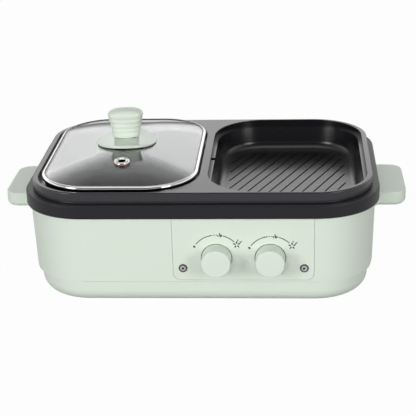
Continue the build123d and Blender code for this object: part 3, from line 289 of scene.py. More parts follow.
@dataclass(frozen=True)
class Finish:
    """One opaque finish, with its own values for the shared groups."""

    slot: Slot
    colour: tuple[float, float, float]
    roughness: float
    metallic: float = 0.0
    scale: float = 1400.0
    depth: float = 0.00004
    spread: float = 0.06
    tone: float = 0.04
    painted_sheen: float = 0.0
    painted_outer_sheen: tuple[float, float, float] | None = None
    coat: float = 0.0
    specular: float = 0.5
    ior: float = 1.5
    surface: Surface = Surface.GRAIN
    coat_roughness: float = 0.12
    painted_sheen_layer: tuple[float, float, float] = (0.55, 0.54, 0.53)

    def build(self, kit: GroupKit) -> bpy.types.Material:
        """Make the material.

        Args:
            kit: The shared node groups.

        Returns:
            The material, named after its slot.
        """
        material = bpy.data.materials.new(self.slot.value)
        material.use_nodes = True
        nodes, links = material.node_tree.nodes, material.node_tree.links
        shader = nodes["Principled BSDF"]
        shader.inputs["Metallic"].default_value = self.metallic
        shader.inputs["IOR"].default_value = self.ior
        shader.inputs["Specular IOR Level"].default_value = self.specular
        shader.inputs["Coat Weight"].default_value = self.coat
        shader.inputs["Coat Roughness"].default_value = self.coat_roughness
        group = nodes.new("ShaderNodeGroup")
        group.node_tree = kit.grain if self.surface is Surface.GRAIN else kit.brush
        group.inputs["Scale"].default_value = self.scale
        group.inputs["Depth"].default_value = self.depth
        group.inputs["Roughness"].default_value = self.roughness
        group.inputs["Spread"].default_value = self.spread
        links.new(group.outputs["Normal"], shader.inputs["Normal"])
        links.new(group.outputs["Roughness"], shader.inputs["Roughness"])
        tint = nodes.new("ShaderNodeMix")
        tint.data_type = "RGBA"
        base = np.array(self.colour)
        tint.inputs["A"].default_value = (*np.clip(base * (1 - self.tone), 0, 1), 1.0)
        tint.inputs["B"].default_value = (*np.clip(base * (1 + self.tone), 0, 1), 1.0)
        mask = "Tone" if self.surface is Surface.GRAIN else "Roughness"
        links.new(group.outputs[mask], tint.inputs["Factor"])
        result = tint.outputs["Result"]
        # Painted sheen: a pale veil on faces that look up, in soft patches.
        if self.painted_sheen > 0:
            painted_sheen_layer = nodes.new("ShaderNodeGroup")
            painted_sheen_layer.node_tree = kit.painted_sheen
            painted_sheen_layer.inputs["Amount"].default_value = self.painted_sheen
            veil = nodes.new("ShaderNodeMix")
            veil.data_type = "RGBA"
            veil.inputs["B"].default_value = (*self.painted_sheen_layer, 1.0)
            links.new(painted_sheen_layer.outputs["Mask"], veil.inputs["Factor"])
            links.new(result, veil.inputs["A"])
            result = veil.outputs["Result"]
        # Painted sheen: a lighter colour on faces that look away from the middle of the cooker.
        if self.painted_outer_sheen is not None:
            outside = nodes.new("ShaderNodeGroup")
            outside.node_tree = kit.outside
            outer_sheen_mix = nodes.new("ShaderNodeMix")
            outer_sheen_mix.data_type = "RGBA"
            outer_sheen_mix.inputs["B"].default_value = (*self.painted_outer_sheen, 1.0)
            links.new(outside.outputs["Mask"], outer_sheen_mix.inputs["Factor"])
            links.new(result, outer_sheen_mix.inputs["A"])
            result = outer_sheen_mix.outputs["Result"]
        links.new(result, shader.inputs["Base Color"])
        return material


@dataclass(frozen=True)
class ClearFinish:
    """A see-through finish: glass, a lens or a lamp."""

    slot: Slot
    colour: tuple[float, float, float]
    roughness: float
    ior: float = 1.5
    smear: float = 0.02

    def build(self, kit: GroupKit) -> bpy.types.Material:
        """Make the material, with faint smears in its roughness.

        Args:
            kit: The shared node groups.

        Returns:
            The material, named after its slot.
        """
        material = bpy.data.materials.new(self.slot.value)
        material.use_nodes = True
        nodes, links = material.node_tree.nodes, material.node_tree.links
        shader = nodes["Principled BSDF"]
        shader.inputs["Base Color"].default_value = (*self.colour, 1.0)
        shader.inputs["Transmission Weight"].default_value = 1.0
        shader.inputs["IOR"].default_value = self.ior
        group = nodes.new("ShaderNodeGroup")
        group.node_tree = kit.grain
        group.inputs["Roughness"].default_value = self.roughness
        group.inputs["Spread"].default_value = self.smear
        links.new(group.outputs["Roughness"], shader.inputs["Roughness"])
        return material


class FinishShelf:
    """All the cooker's finishes, by slot."""

    OPAQUE = (
        Finish(Slot.MINT, (0.725, 0.805, 0.705), 0.36, depth=0.00002, scale=1800.0, tone=0.012),
        Finish(Slot.MINT_GLOSS, (0.66, 0.75, 0.65), 0.14, depth=0.000002, tone=0.008, spread=0.02),
        Finish(Slot.BLACK, (0.012, 0.0115, 0.015), 0.42, depth=0.00003, scale=1600.0, specular=0.3),
        Finish(
            Slot.NONSTICK,
            (0.007, 0.0068, 0.0085),
            0.26,
            depth=0.00006,
            scale=900.0,
            # The pale veil on faces that look up is painted sheen.
            painted_sheen=0.03,
            # The lighter colour of the outer walls is painted sheen.
            painted_outer_sheen=(0.030, 0.0295, 0.035),
            coat=0.12,
            specular=0.38,
        ),
        Finish(Slot.LINER, (0.60, 0.60, 0.58), 0.3, metallic=1.0, surface=Surface.BRUSHED),
        Finish(Slot.HEATER, (0.25, 0.25, 0.24), 0.45, metallic=1.0),
        Finish(Slot.BRASS, (0.70, 0.52, 0.25), 0.3, metallic=1.0, surface=Surface.BRUSHED),
        Finish(Slot.CERAMIC, (0.84, 0.82, 0.76), 0.6),
        Finish(Slot.THERMOSTAT, (0.74, 0.71, 0.64), 0.5),
        Finish(Slot.PLATED, (0.62, 0.62, 0.61), 0.25, metallic=1.0, surface=Surface.BRUSHED),
        Finish(Slot.INLET, (0.018, 0.018, 0.019), 0.3),
        Finish(Slot.PILOT_METAL, (0.14, 0.14, 0.14), 0.28, metallic=1.0, surface=Surface.BRUSHED),
        Finish(Slot.PILOT_LENS, (0.46, 0.47, 0.45), 0.12, coat=0.6, tone=0.15),
        Finish(Slot.RUBBER, (0.05, 0.05, 0.05), 0.75),
        Finish(Slot.SILICONE, (0.66, 0.22, 0.20), 0.45),
        Finish(Slot.STEEL, (0.68, 0.67, 0.66), 0.10, metallic=1.0, spread=0.06, surface=Surface.BRUSHED),
    )
    EXTRA = {
        "ink": Finish(Slot.BLACK, (0.06, 0.07, 0.06), 0.45, depth=0.000002, tone=0.02),
        # Dark steel for the rim's inner slope: painted shade along the glass's edge.
        "lip": Finish(Slot.STEEL, (0.07, 0.065, 0.065), 0.3, metallic=1.0, surface=Surface.BRUSHED),
        # Near-black without shine: the pilots' electrodes, and painted shade in the vent's bore.
        "throat": Finish(Slot.STEEL, (0.004, 0.004, 0.004), 0.9, depth=0.000002, specular=0.0),
    }
    CLEAR = (
        ClearFinish(Slot.GLASS, (0.93, 0.94, 0.95), 0.0, ior=1.6),
        ClearFinish(Slot.LAMP, (0.9, 0.6, 0.45), 0.05),
    )

    def __init__(self) -> None:
        """Build every finish."""
        kit = GroupKit()
        self.by_slot = {f.slot: f.build(kit) for f in (*self.OPAQUE, *self.CLEAR)}
        for name, finish in self.EXTRA.items():
            self.by_slot[name] = finish.build(kit)
            self.by_slot[name].name = name

    def dress(self, piece: bpy.types.Object, slot: Slot | str) -> None:
        """Put one finish on a whole piece.

        Args:
            piece: The object to dress.
            slot: Whose finish it takes, or the name of one of the extra finishes.
        """
        piece.data.materials.clear()
        piece.data.materials.append(self.by_slot[slot])


# ---------------------------------------------------------------------------------------------
# Studio
# ---------------------------------------------------------------------------------------------


@dataclass(frozen=True)
class Lamp:
    """One soft rectangular lamp, with places and sides in metres and its power in watts."""

    name: str
    place: tuple[float, float, float]
    size: tuple[float, float]
    power: float
    mirrored: bool = True

    def build(self, aim: Sequence[float]) -> None:
        """Add the lamp. Polished pieces show it only if it is mirrored.

        Args:
            aim: The point it faces, in metres.
        """
        data = bpy.data.lights.new(self.name, "AREA")
        data.shape = "RECTANGLE"
        data.size, data.size_y = self.size
        data.energy = self.power
        lamp = bpy.data.objects.new(self.name, data)
        lamp.location = self.place
        lamp.rotation_euler = (Vector(aim) - Vector(self.place)).to_track_quat("-Z", "Y").to_euler()
        lamp.visible_camera = False
        lamp.visible_glossy = self.mirrored
        lamp.visible_transmission = self.mirrored
        bpy.context.scene.collection.objects.link(lamp)


@dataclass(frozen=True)
class Studio:
    """White floor and surround, soft lamps and the camera.

    The surround is a list of height and brightness pairs, from straight down to straight up.
    """

    eye: tuple[float, float, float] = (0.10066, -1.30351, 0.58195)
    pitch: float = math.radians(21.666)
    yaw: float = math.radians(4.351)
    roll: float = math.radians(-1.751)
    lens: float = 107.25
    aim: tuple[float, float, float] = (0.0, 0.0, 0.08)
    lamps: tuple[Lamp, ...] = (
        Lamp("front", (-0.2, -2.9, 0.85), (2.2, 1.2), 37.0, mirrored=False),
        Lamp("key_left", (-1.9, -2.0, 0.85), (0.9, 1.2), 28.0),
        Lamp("key_right", (1.9, -1.9, 0.8), (0.9, 1.2), 22.0),
        Lamp("back", (0.3, 2.9, 0.45), (2.6, 0.8), 48.0, mirrored=False),
        Lamp("top", (-0.1, 0.2, 2.2), (1.8, 1.8), 0.8, mirrored=False),
    )
    fill: float = 0.22
    mirrored: float = 1.8
    surround: tuple[tuple[float, float], ...] = (
        (0.0, 0.15),
        (0.05, 0.25),
        (0.14, 0.8),
        (0.3, 1.12),
        (0.42, 0.98),
        (0.58, 0.5),
        (0.76, 0.24),
        (0.9, 0.5),
        (1.0, 0.85),
    )
    dim_reach: tuple[float, float] = (-0.7, -0.1)
    dimmest: float = 0.12
    floor_reach: float = 6.0
    floor_tone: float = 0.14
    floor_glow: tuple[float, float] = (0.75, 1.04)
    floor_share: float = 0.94

    def camera(self) -> None:
        """Place the camera by its pitch, yaw and roll."""
        data = bpy.data.cameras.new("view")
        data.lens = self.lens
        data.sensor_width = 36.0
        data.clip_start = 0.05
        data.clip_end = 50.0
        view = bpy.data.objects.new("view", data)
        s, c = math.sin(self.yaw), math.cos(self.yaw)
        ahead = Vector((-s * math.cos(self.pitch), c * math.cos(self.pitch), -math.sin(self.pitch)))
        right = Vector((c, s, 0))
        up = Vector((-s * math.sin(self.pitch), c * math.sin(self.pitch), math.cos(self.pitch)))
        across = math.cos(self.roll) * right + math.sin(self.roll) * up
        above = -math.sin(self.roll) * right + math.cos(self.roll) * up
        turn = Matrix((across, above, -ahead)).transposed()
        view.matrix_world = Matrix.Translation(self.eye) @ turn.to_4x4()
        bpy.context.scene.collection.objects.link(view)
        bpy.context.scene.camera = view

    def world(self) -> None:
        """White to the camera; to reflections a bright low surround that darkens overhead."""
        world = bpy.data.worlds.new("surround")
        bpy.context.scene.world = world
        world.use_nodes = True
        nodes, links = world.node_tree.nodes, world.node_tree.links
        nodes.clear()
        out = nodes.new("ShaderNodeOutputWorld")
        rays = nodes.new("ShaderNodeLightPath")
        seen = nodes.new("ShaderNodeBackground")
        seen.inputs["Color"].default_value = (1, 1, 1, 1)
        fill = nodes.new("ShaderNodeBackground")
        fill.inputs["Color"].default_value = (0.97, 0.98, 1.0, 1)
        fill.inputs["Strength"].default_value = self.fill
        mirrored = nodes.new("ShaderNodeBackground")
        place = nodes.new("ShaderNodeTexCoord")
        split = nodes.new("ShaderNodeSeparateXYZ")
        ramp = nodes.new("ShaderNodeValToRGB")
        stops = ramp.color_ramp.elements
        for stop, (at, value) in zip((stops[0], stops[1]), (self.surround[0], self.surround[-1])):
            stop.position = at
            stop.color = (value, value, value, 1)
        for at, value in self.surround[1:-1]:
            stops.new(at).color = (value, value, value, 1)
        dim = nodes.new("ShaderNodeMapRange")
        dim.interpolation_type = "SMOOTHSTEP"
        dim.inputs["From Min"].default_value, dim.inputs["From Max"].default_value = self.dim_reach
        dim.inputs["To Min"].default_value = self.dimmest
        shade = nodes.new("ShaderNodeVectorMath")
        shade.operation = "SCALE"
        links.new(place.outputs["Generated"], split.inputs[0])
        links.new(split.outputs["Z"], ramp.inputs["Fac"])
        links.new(split.outputs["Y"], dim.inputs["Value"])
        links.new(ramp.outputs["Color"], shade.inputs[0])
        links.new(dim.outputs["Result"], shade.inputs["Scale"])
        links.new(shade.outputs[0], mirrored.inputs["Color"])
        mirrored.inputs["Strength"].default_value = self.mirrored
        first = nodes.new("ShaderNodeMixShader")
        second = nodes.new("ShaderNodeMixShader")
        links.new(rays.outputs["Is Glossy Ray"], first.inputs["Fac"])
        links.new(fill.outputs[0], first.inputs[1])
        links.new(mirrored.outputs[0], first.inputs[2])
        links.new(rays.outputs["Is Camera Ray"], second.inputs["Fac"])
        links.new(first.outputs[0], second.inputs[1])
        links.new(seen.outputs[0], second.inputs[2])
        links.new(second.outputs[0], out.inputs["Surface"])

    def floor(self) -> None:
        """A white floor that keeps a faint shadow of the cooker."""
        mesh = bpy.data.meshes.new("floor")
        far = self.floor_reach
        corners = [(-far, -far, 0), (far, -far, 0), (far, far, 0), (-far, far, 0)]
        mesh.from_pydata(corners, [], [(0, 1, 2, 3)])
        floor = bpy.data.objects.new("floor", mesh)
        bpy.context.scene.collection.objects.link(floor)
        material = bpy.data.materials.new("floor_white")
        material.use_nodes = True
        nodes, links = material.node_tree.nodes, material.node_tree.links
        nodes.clear()
        out = nodes.new("ShaderNodeOutputMaterial")
        rays = nodes.new("ShaderNodeLightPath")
        matt = nodes.new("ShaderNodeBsdfDiffuse")
        matt.inputs["Color"].default_value = (self.floor_tone, self.floor_tone, self.floor_tone, 1)
        white = nodes.new("ShaderNodeEmission")
        level = nodes.new("ShaderNodeMapRange")
        level.inputs["To Min"].default_value, level.inputs["To Max"].default_value = self.floor_glow
        share = nodes.new("ShaderNodeMath")
        share.operation = "MULTIPLY"
        share.inputs[1].default_value = self.floor_share
        pick = nodes.new("ShaderNodeMath")
        pick.operation = "MAXIMUM"
        blend = nodes.new("ShaderNodeMixShader")
        links.new(rays.outputs["Is Camera Ray"], level.inputs["Value"])
        links.new(level.outputs["Result"], white.inputs["Strength"])
        links.new(rays.outputs["Is Camera Ray"], pick.inputs[0])
        links.new(rays.outputs["Is Glossy Ray"], pick.inputs[1])
        links.new(pick.outputs[0], share.inputs[0])
        links.new(share.outputs[0], blend.inputs["Fac"])
        links.new(matt.outputs[0], blend.inputs[1])
        links.new(white.outputs[0], blend.inputs[2])
        links.new(blend.outputs[0], out.inputs["Surface"])
        mesh.materials.append(material)

    def build(self) -> None:
        """Set the whole studio up."""
        bpy.context.scene.view_settings.view_transform = "Standard"
        self.camera()
        self.world()
        self.floor()
        for lamp in self.lamps:
            lamp.build(self.aim)
        LOG.info("studio ready")


# ---------------------------------------------------------------------------------------------
# Meshes
# ---------------------------------------------------------------------------------------------


class Weaver:
    """Turns grids and polygons of points, in millimetres, into meshes."""

    @staticmethod
    def link(name: str, mesh: bpy.types.Mesh, smooth: bool = True) -> bpy.types.Object:
        """Make an object of a mesh.

        Args:
            name: The object's name.
            mesh: Its mesh.
            smooth: Whether its faces are shaded smooth.

        Returns:
            The object, at the origin.
        """
        mesh.update()
        mesh.polygons.foreach_set("use_smooth", np.full(len(mesh.polygons), smooth))
        mesh.set_sharp_from_angle(angle=SHARP_ANGLE)
        piece = bpy.data.objects.new(name, mesh)
        bpy.context.scene.collection.objects.link(piece)
        return piece

    @classmethod
    def tube(
        cls, name: str, rings: np.ndarray, capped: bool = False, looped: bool = False
    ) -> bpy.types.Object:
        """Join a stack of closed rings.

        Args:
            name: The object's name.
            rings: Points, as rings x points x 3, in millimetres.
            capped: Whether the first and last ring are closed over.
            looped: Whether the last ring is joined back to the first.

        Returns:
            The object.
        """
        rows, columns = rings.shape[:2]
        here = np.arange(columns)
        start = np.arange(rows)[:, None] * columns
        low = np.stack((start + here, start + np.roll(here, -1)), axis=1)
        high = np.roll(low, -1, axis=0)
        faces = np.stack((low[:, 0], low[:, 1], high[:, 1], high[:, 0]), axis=-1)
        faces = (faces if looped else faces[:-1]).reshape(-1, 4).tolist()
        if capped:
            faces += [here[::-1].tolist(), (here + (rows - 1) * columns).tolist()]
        mesh = bpy.data.meshes.new(name)
        mesh.from_pydata((rings.reshape(-1, 3) * MM).tolist(), [], faces)
        return cls.link(name, mesh)

    @classmethod
    def turned(
        cls,
        name: str,
        profile: Sequence[tuple[float, float]],
        centre: Sequence[float],
        axis: Sequence[float],
        capped: bool = False,
        looped: bool = False,
    ) -> bpy.types.Object:
        """Turn a profile round an axis that lies across x.

        A point (r, h) becomes centre + axis * h + r * (cos t * x + sin t * side), for t all round.

        Args:
            name: The object's name.
            profile: Radius and height pairs, in the order that keeps the outside on the right.
            centre: The point that heights are measured from.
            axis: The axis's direction.
            capped: Whether both ends are closed over.
            looped: Whether the profile closes on itself.

        Returns:
            The object.
        """
        radius, height = np.array(profile).T
        ahead = np.array(axis) / np.linalg.norm(axis)
        right = np.array((1.0, 0.0, 0.0))
        side = np.cross(ahead, right)
        turn = np.linspace(0, 2 * np.pi, ROUND_STEPS, endpoint=False)
        spoke = np.cos(turn)[:, None] * right + np.sin(turn)[:, None] * side
        rings = np.array(centre) + height[:, None, None] * ahead + radius[:, None, None] * spoke
        return cls.tube(name, rings, capped, looped)

    @classmethod
    def patches(cls, name: str, outlines: Sequence[np.ndarray]) -> bpy.types.Object:
        """Fill flat outlines as separate faces.

        Args:
            name: The object's name.
            outlines: Each outline's points, n x 3, in millimetres, in order round it.

        Returns:
            The object.
        """
        starts = np.cumsum([0, *(len(o) for o in outlines)])
        faces = [list(range(a, b)) for a, b in zip(starts, starts[1:])]
        mesh = bpy.data.meshes.new(name)
        mesh.from_pydata((np.concatenate(outlines) * MM).tolist(), [], faces)
        return cls.link(name, mesh, False)


# ---------------------------------------------------------------------------------------------
# Sub-assemblies
# ---------------------------------------------------------------------------------------------


@dataclass(frozen=True)
class Knob:
    """The lid's ribbed knob: an oval that tapers down, with soft bands and a low domed cap."""

    centre: tuple[float, float] = (-88.0, 7.357)
    bottom: float = 147.1
    shoulder: float = 172.4
    half_width: tuple[float, float] = (14.7, 19.5)
    half_depth: tuple[float, float] = (8.2, 12.3)
    squareness: tuple[float, float] = (2.3, 3.0)
    turn: float = math.radians(7.0)
    pitch: float = 5.4
    grooves: int = 4
    groove: float = 0.42
    cap: float = 3.6
    dome: float = 3.6
    side_rows: int = 120
    columns: int = 144

    def build(self, shelf: FinishShelf) -> None:
        """Make the knob in place of its plain solid.

        The sides are ovals whose half width, half depth and squareness grow from the first to the
        second value; each groove is a squared cosine dip. The cap's ovals shrink by a
        share s while they rise by cap * (1 - s^7)^(1/2.2) + dome * (1 - s^2).

        Args:
            shelf: The finishes.
        """
        rise = np.linspace(0.0, 1.0, self.side_rows)
        height = self.bottom + rise * (self.shoulder - self.bottom)
        phase = 2 * np.pi * (height - self.bottom) / self.pitch
        dip = self.groove * ((1 + np.cos(phase)) / 2) ** 2
        dip[height > self.bottom + (self.grooves + 0.5) * self.pitch] = 0.0
        share = np.concatenate((np.linspace(0.995, 0.8, 22), np.linspace(0.78, 0.04, 24)))
        cap = self.shoulder + self.cap * (1 - share**7) ** (1 / 2.2) + self.dome * (1 - share**2)
        spans = (self.half_width, self.half_depth, self.squareness)
        sides = [np.interp(rise, (0, 1), span) for span in spans]
        wide = np.concatenate((sides[0] - dip, self.half_width[1] * share))
        deep = np.concatenate((sides[1] - dip, self.half_depth[1] * share))
        power = np.concatenate((sides[2], np.full(share.size, self.squareness[1])))
        level = np.concatenate((height, cap))
        angle = np.linspace(0, 2 * np.pi, self.columns, endpoint=False)
        c, s = np.cos(angle), np.sin(angle)
        x = wide[:, None] * np.sign(c) * np.abs(c) ** (2 / power[:, None])
        y = deep[:, None] * np.sign(s) * np.abs(s) ** (2 / power[:, None])
        ct, st = math.cos(self.turn), math.sin(self.turn)
        across = self.centre[0] + ct * x - st * y
        back = self.centre[1] + st * x + ct * y
        rings = np.stack((across, back, np.broadcast_to(level[:, None], x.shape)), axis=-1)
        knob = Weaver.tube("knob", rings, capped=True)
        shelf.dress(knob, Slot.MINT)
        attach(knob, Body.LID.value)
        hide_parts("lid_knob")


@dataclass(frozen=True)
class LidRim:
    """The polished rim round the glass, with painted shade on the slope down to the glass, and the skirt
    below it.
    """

    centre: tuple[float, float] = (-88.0, 7.357)
    half: tuple[float, float] = (84.5, 118.5)
    corner: float = 55.0
    profile: tuple[tuple[float, float], ...] = (
        (2.6, 118.4), (2.6, 125.8), (0.35, 125.8), (0.08, 125.95), (0.0, 126.3), (0.0, 128.2),
        (0.12, 128.75), (0.4, 129.2), (0.8, 129.55), (1.3, 129.82), (1.8, 130.03), (2.2, 130.15),
        (2.5, 130.2), (2.75, 130.17), (3.0, 130.05), (3.4, 129.9), (3.9, 129.72), (4.2, 129.64),
        (4.2, 129.61), (1.3, 129.61), (1.3, 126.58), (3.6, 126.58), (3.6, 118.4),
    )
    # Profile rows whose faces take dark steel: painted shade along the glass's edge.
    lip: tuple[int, int] = (13, 18)
    corner_steps: int = 30

    def build(self, shelf: FinishShelf) -> None:
        """Carry the profile round the lid's outline.

        A profile point (d, z) runs along the outline moved in by d: corner arcs of radius
        corner - d about four fixed centres, joined by straight runs. The faces between the two
        listed profile rows, on the slope down to the glass, take a dark steel finish: painted
        shade along the glass's edge.

        Args:
            shelf: The finishes.
        """
        inset, level = np.array(self.profile).T
        quarter = np.linspace(0, np.pi / 2, self.corner_steps)
        turn = np.concatenate([quarter + k * np.pi / 2 for k in range(4)])
        side_x = np.repeat((1, -1, -1, 1), quarter.size) * (self.half[0] - self.corner)
        side_y = np.repeat((1, 1, -1, -1), quarter.size) * (self.half[1] - self.corner)
        radius = (self.corner - inset)[:, None]
        x = self.centre[0] + side_x + radius * np.cos(turn)
        y = self.centre[1] + side_y + radius * np.sin(turn)
        rings = np.stack((x, y, np.broadcast_to(level[:, None], x.shape)), axis=-1)
        rim = Weaver.tube("lid_rim_band", rings, looped=True)
        shelf.dress(rim, Slot.STEEL)
        # Second finish, dark steel: painted shade where the rim meets the glass.
        rim.data.materials.append(shelf.by_slot["lip"])
        rows = np.arange(len(self.profile))
        painted_shade_rows = ((rows >= self.lip[0]) & (rows < self.lip[1])).astype(np.int32)
        rim.data.polygons.foreach_set("material_index", np.repeat(painted_shade_rows, turn.size))
        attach(rim, Body.LID.value)
        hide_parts("lid_rim")


@dataclass(frozen=True)
class Vent:
    """The steel eyelet in the glass, and a black disc of painted shade in its throat."""

    seat: tuple[float, float, float] = (-85.0, -59.643, 138.888)
    axis: tuple[float, float, float] = (0.0, -0.131, 1.0)
    profile: tuple[tuple[float, float], ...] = (
        (5.3, -2.75), (5.3, 1.0), (8.2, 1.0), (8.38, 1.25), (8.4, 1.8), (8.15, 2.5), (7.6, 3.0), (6.9, 3.3),
        (6.2, 3.4), (5.6, 3.3), (5.0, 2.95), (4.5, 2.6), (4.1, 2.45), (3.95, 2.2), (3.9, 1.5), (3.9, -5.1),
        (7.2, -5.1), (7.2, -2.75),
    )
    throat: float = 1.7
    painted_shade_disc: tuple[float, float] = (3.92, 0.3)

    def build(self, shelf: FinishShelf) -> None:
        """Turn the eyelet and close its throat with a black disc of painted shade.

        Args:
            shelf: The finishes.
        """
        vent = Weaver.turned("vent_eyelet", self.profile, self.seat, self.axis, looped=True)
        shelf.dress(vent, Slot.STEEL)
        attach(vent, Body.LID.value)
        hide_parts("steam_vent")
        radius, thickness = self.painted_shade_disc
        disc = ((radius, self.throat - thickness), (radius, self.throat), (0.05, self.throat))
        # A black disc without shine in the bore: painted shade.
        throat = Weaver.turned("vent_painted_shade_disc", disc, self.seat, self.axis, capped=True)
        shelf.dress(throat, "throat")
        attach(throat, Body.LID.value)


@dataclass(frozen=True)
class Dial:
    """One control dial: a tapered drum with a softly rounded face, and a black ring of painted shadow round
    its foot.
    """

    node: str
    body: Body
    middle: float
    height: float = 54.0
    back: float = -119.857
    profile: tuple[tuple[float, float], ...] = (
        (5.4, 0.0), (15.6, 0.0), (15.78, 0.15), (15.78, 0.8), (15.55, 8.0), (15.25, 16.6),
        (15.15, 17.2), (14.9, 17.65), (14.5, 17.9), (14.0, 17.98), (8.0, 18.0), (0.2, 18.0),
    )
    # A black ring between the drum's foot and the well's edge: painted shadow.
    groove: tuple[tuple[float, float], ...] = (
        (15.4, -0.42), (16.42, -0.42), (16.42, 0.05), (16.38, 0.05), (16.38, -0.36), (15.4, -0.36),
    )
    collar: tuple[tuple[float, float], ...] = ((16.43, 0.7), (17.13, 0.7), (17.13, 0.0), (16.43, 0.0))
    collar_lift: float = 0.015

    def build(self, shelf: FinishShelf) -> None:
        """Turn the drum, a black ring of painted shadow round its foot, and the edge of the well.

        The collar's pairs are a radius and how far it lies behind the panel's face.

        Args:
            shelf: The finishes.
        """
        centre, ahead = (self.middle, self.back, self.height), (0.0, -1.0, 0.0)
        dial = Weaver.turned(f"{self.node}_drum", self.profile, centre, ahead, capped=True)
        shelf.dress(dial, Slot.MINT)
        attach(dial, self.body.value)
        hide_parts(self.node)
        # Painted shadow: a black ring round the drum's foot.
        painted_gap_shadow = Weaver.turned(f"{self.node}_gap", self.groove, centre, ahead, looped=True)
        shelf.dress(painted_gap_shadow, Slot.BLACK)
        turn = np.linspace(0, 2 * np.pi, ROUND_STEPS, endpoint=False)
        rings = []
        for radius, sunk in self.collar:
            across, up = self.middle + radius * np.cos(turn), self.height + radius * np.sin(turn)
            rings.append(Panel.on_face(across, up, self.collar_lift) + (0.0, sunk, 0.0))
        collar = Weaver.tube(f"{self.node}_well_edge", np.array(rings), looped=True)
        shelf.dress(collar, Slot.MINT)
        for piece, slot in ((painted_gap_shadow, Slot.BLACK), (collar, Slot.MINT)):
            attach(piece, Body.BASE.value)


@dataclass(frozen=True)
class Mark:
    """A printed drop or dot: where it sits, half its size, its turn and its tip."""

    angle: float
    offset: tuple[float, float]
    size: tuple[float, float]
    turn: float = 0.0
    tip: float = 0.0


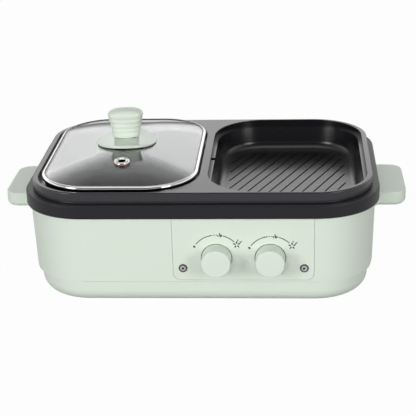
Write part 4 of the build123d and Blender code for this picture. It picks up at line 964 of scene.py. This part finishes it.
@dataclass(frozen=True)
class Panel:
    """What is printed on the control panel, and the faces of its pilot lights."""

    face: float = -127.5
    face_top: float = 100.2
    face_slope: float = 0.03
    scales: tuple[tuple[float, float], ...] = ((18.0, 54.0), (75.5, 52.5))
    scale: float = 26.5
    line: float = 0.95
    arcs: tuple[tuple[float, float], ...] = ((143, 98.5), (96, 92.6), (90.3, 87.2), (73.5, 45))
    low_heat: tuple[Mark, ...] = (
        Mark(150, (0, 0), (1.5, 1.1), -40),
        Mark(81, (-2.0, -0.5), (0.6, 1.2)),
        Mark(81, (0, 0.5), (1.0, 2.7), 8, 0.5),
        Mark(81, (1.7, -0.5), (0.7, 1.5), -25),
    )
    flower_angle: float = 36
    petals: tuple[float, ...] = (20, 92, 164, 236, 308)
    petal_reach: float = 2.6
    petal_size: tuple[float, float] = (1.0, 1.5)
    petal_tip: float = 0.35
    sparks: tuple[Mark, ...] = (
        Mark(flower_angle, (4.4, 3.2), (0.8, 1.7), -50, 0.5),
        Mark(flower_angle, (1.1, 5.0), (0.7, 1.2), 5, 0.5),
    )
    mark_steps: int = 20
    pilots: tuple[float, float] = (-17.7, 109.3)
    pilot_height: float = 42.4
    electrode: tuple[tuple[float, float], ...] = ((1.2, -0.1), (1.15, 0.12), (0.8, 0.25), (0.05, 0.3))

    @classmethod
    def on_face(cls, x: np.ndarray, z: np.ndarray, lift: float = 0.05) -> np.ndarray:
        """Put points on the panel's sloping face.

        Args:
            x: Across the panel, in millimetres.
            z: Heights, in millimetres.
            lift: How far in front of the face.

        Returns:
            The points, n x 3.
        """
        depth = BODY_Y + cls.face + cls.face_slope * (cls.face_top - z) - lift
        return np.stack((x, depth, z), axis=-1)

    def arc(self, centre: tuple[float, float], start: float, end: float) -> np.ndarray:
        """A band of the scale.

        Args:
            centre: The scale's middle, across and up.
            start: Angle it starts at, in degrees from the right.
            end: Angle it ends at.

        Returns:
            Its outline.
        """
        turn = np.radians(np.linspace(start, end, max(3, int(abs(end - start)) + 2)))
        outer, inner = self.scale + self.line / 2, self.scale - self.line / 2
        radius = np.concatenate((np.full(turn.size, outer), np.full(turn.size, inner)))
        turn = np.concatenate((turn, turn[::-1]))
        return self.on_face(centre[0] + radius * np.cos(turn), centre[1] + radius * np.sin(turn))

    def outline(self, centre: tuple[float, float], mark: Mark) -> np.ndarray:
        """Draw a mark: an oval that narrows towards its top by its tip, then turned.

        Args:
            centre: The scale's middle, across and up.
            mark: The mark.

        Returns:
            Its outline.
        """
        t = np.linspace(0, 2 * np.pi, self.mark_steps, endpoint=False)
        x = mark.size[0] * np.cos(t) * (1 - mark.tip * (1 + np.sin(t)) / 2)
        z = mark.size[1] * np.sin(t)
        a, r = math.radians(mark.turn), math.radians(mark.angle)
        across = centre[0] + self.scale * math.cos(r) + mark.offset[0] + x * math.cos(a) - z * math.sin(a)
        up = centre[1] + self.scale * math.sin(r) + mark.offset[1] + x * math.sin(a) + z * math.cos(a)
        return self.on_face(across, up)

    def flower(self) -> list[Mark]:
        """Set the petals round the high-heat sign's middle, each pointing outward.

        Returns:
            The petals.
        """
        return [
            Mark(
                self.flower_angle,
                (self.petal_reach * math.cos(a), self.petal_reach * math.sin(a)),
                self.petal_size,
                math.degrees(a) - 90,
                self.petal_tip,
            )
            for a in np.radians(self.petals)
        ]

    def print_scales(self, shelf: FinishShelf) -> None:
        """Print both scales: a long arc, dashes, a short arc, a dot, a drop and a flower.

        Args:
            shelf: The finishes.
        """
        shapes = []
        for centre in self.scales:
            shapes += [self.arc(centre, *span) for span in self.arcs]
            marks = (*self.low_heat, *self.flower(), *self.sparks)
            shapes += [self.outline(centre, mark) for mark in marks]
        scales = Weaver.patches("printed_scales", shapes)
        shelf.dress(scales, "ink")
        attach(scales, Body.BASE.value)

    def light_pilots(self, shelf: FinishShelf) -> None:
        """Put the dark electrode into each pilot light.

        Args:
            shelf: The finishes.
        """
        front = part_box("pilot_lenses")[0][1] / MM
        for number, across in enumerate(self.pilots):
            centre, ahead = (across, front, self.pilot_height), (0.0, -1.0, 0.0)
            name = f"pilot_electrode_{number}"
            electrode = Weaver.turned(name, self.electrode, centre, ahead, capped=True)
            shelf.dress(electrode, "throat")
            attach(electrode, Body.BASE.value)

    def build(self, shelf: FinishShelf) -> None:
        """Build what the panel carries.

        Args:
            shelf: The finishes.
        """
        self.print_scales(shelf)
        self.light_pilots(shelf)


@dataclass
class Frame:
    """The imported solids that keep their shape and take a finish."""

    nodes: dict[str, bpy.types.Object]
    slots: dict[str, str]

    def dress(self, shelf: FinishShelf) -> None:
        """Give every solid its slot's finish.

        Args:
            shelf: The finishes.
        """
        for name, node in self.nodes.items():
            shelf.dress(node, Slot(self.slots[name]))
            LOG.info("dressed %s as %s", name, self.slots[name])


def main() -> None:
    """Build the cooker's looks, sub-assembly by sub-assembly."""
    logging.basicConfig(level=logging.INFO, format="%(message)s")
    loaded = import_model()
    shelf = FinishShelf()
    slots = {row["node"]: row["material_slot"] for row in loaded["record"]["subparts"]}
    Frame(loaded["nodes"], slots).dress(shelf)
    for part in (
        Knob(),
        LidRim(),
        Vent(),
        Dial("pot_dial", Body.POT_CONTROL, 18.0),
        Dial("grill_dial", Body.GRILL_CONTROL, 74.3),
        Panel(),
    ):
        part.build(shelf)
        LOG.info("built %s", type(part).__name__)
    Studio().build()


if __name__ == "__main__":
    main()
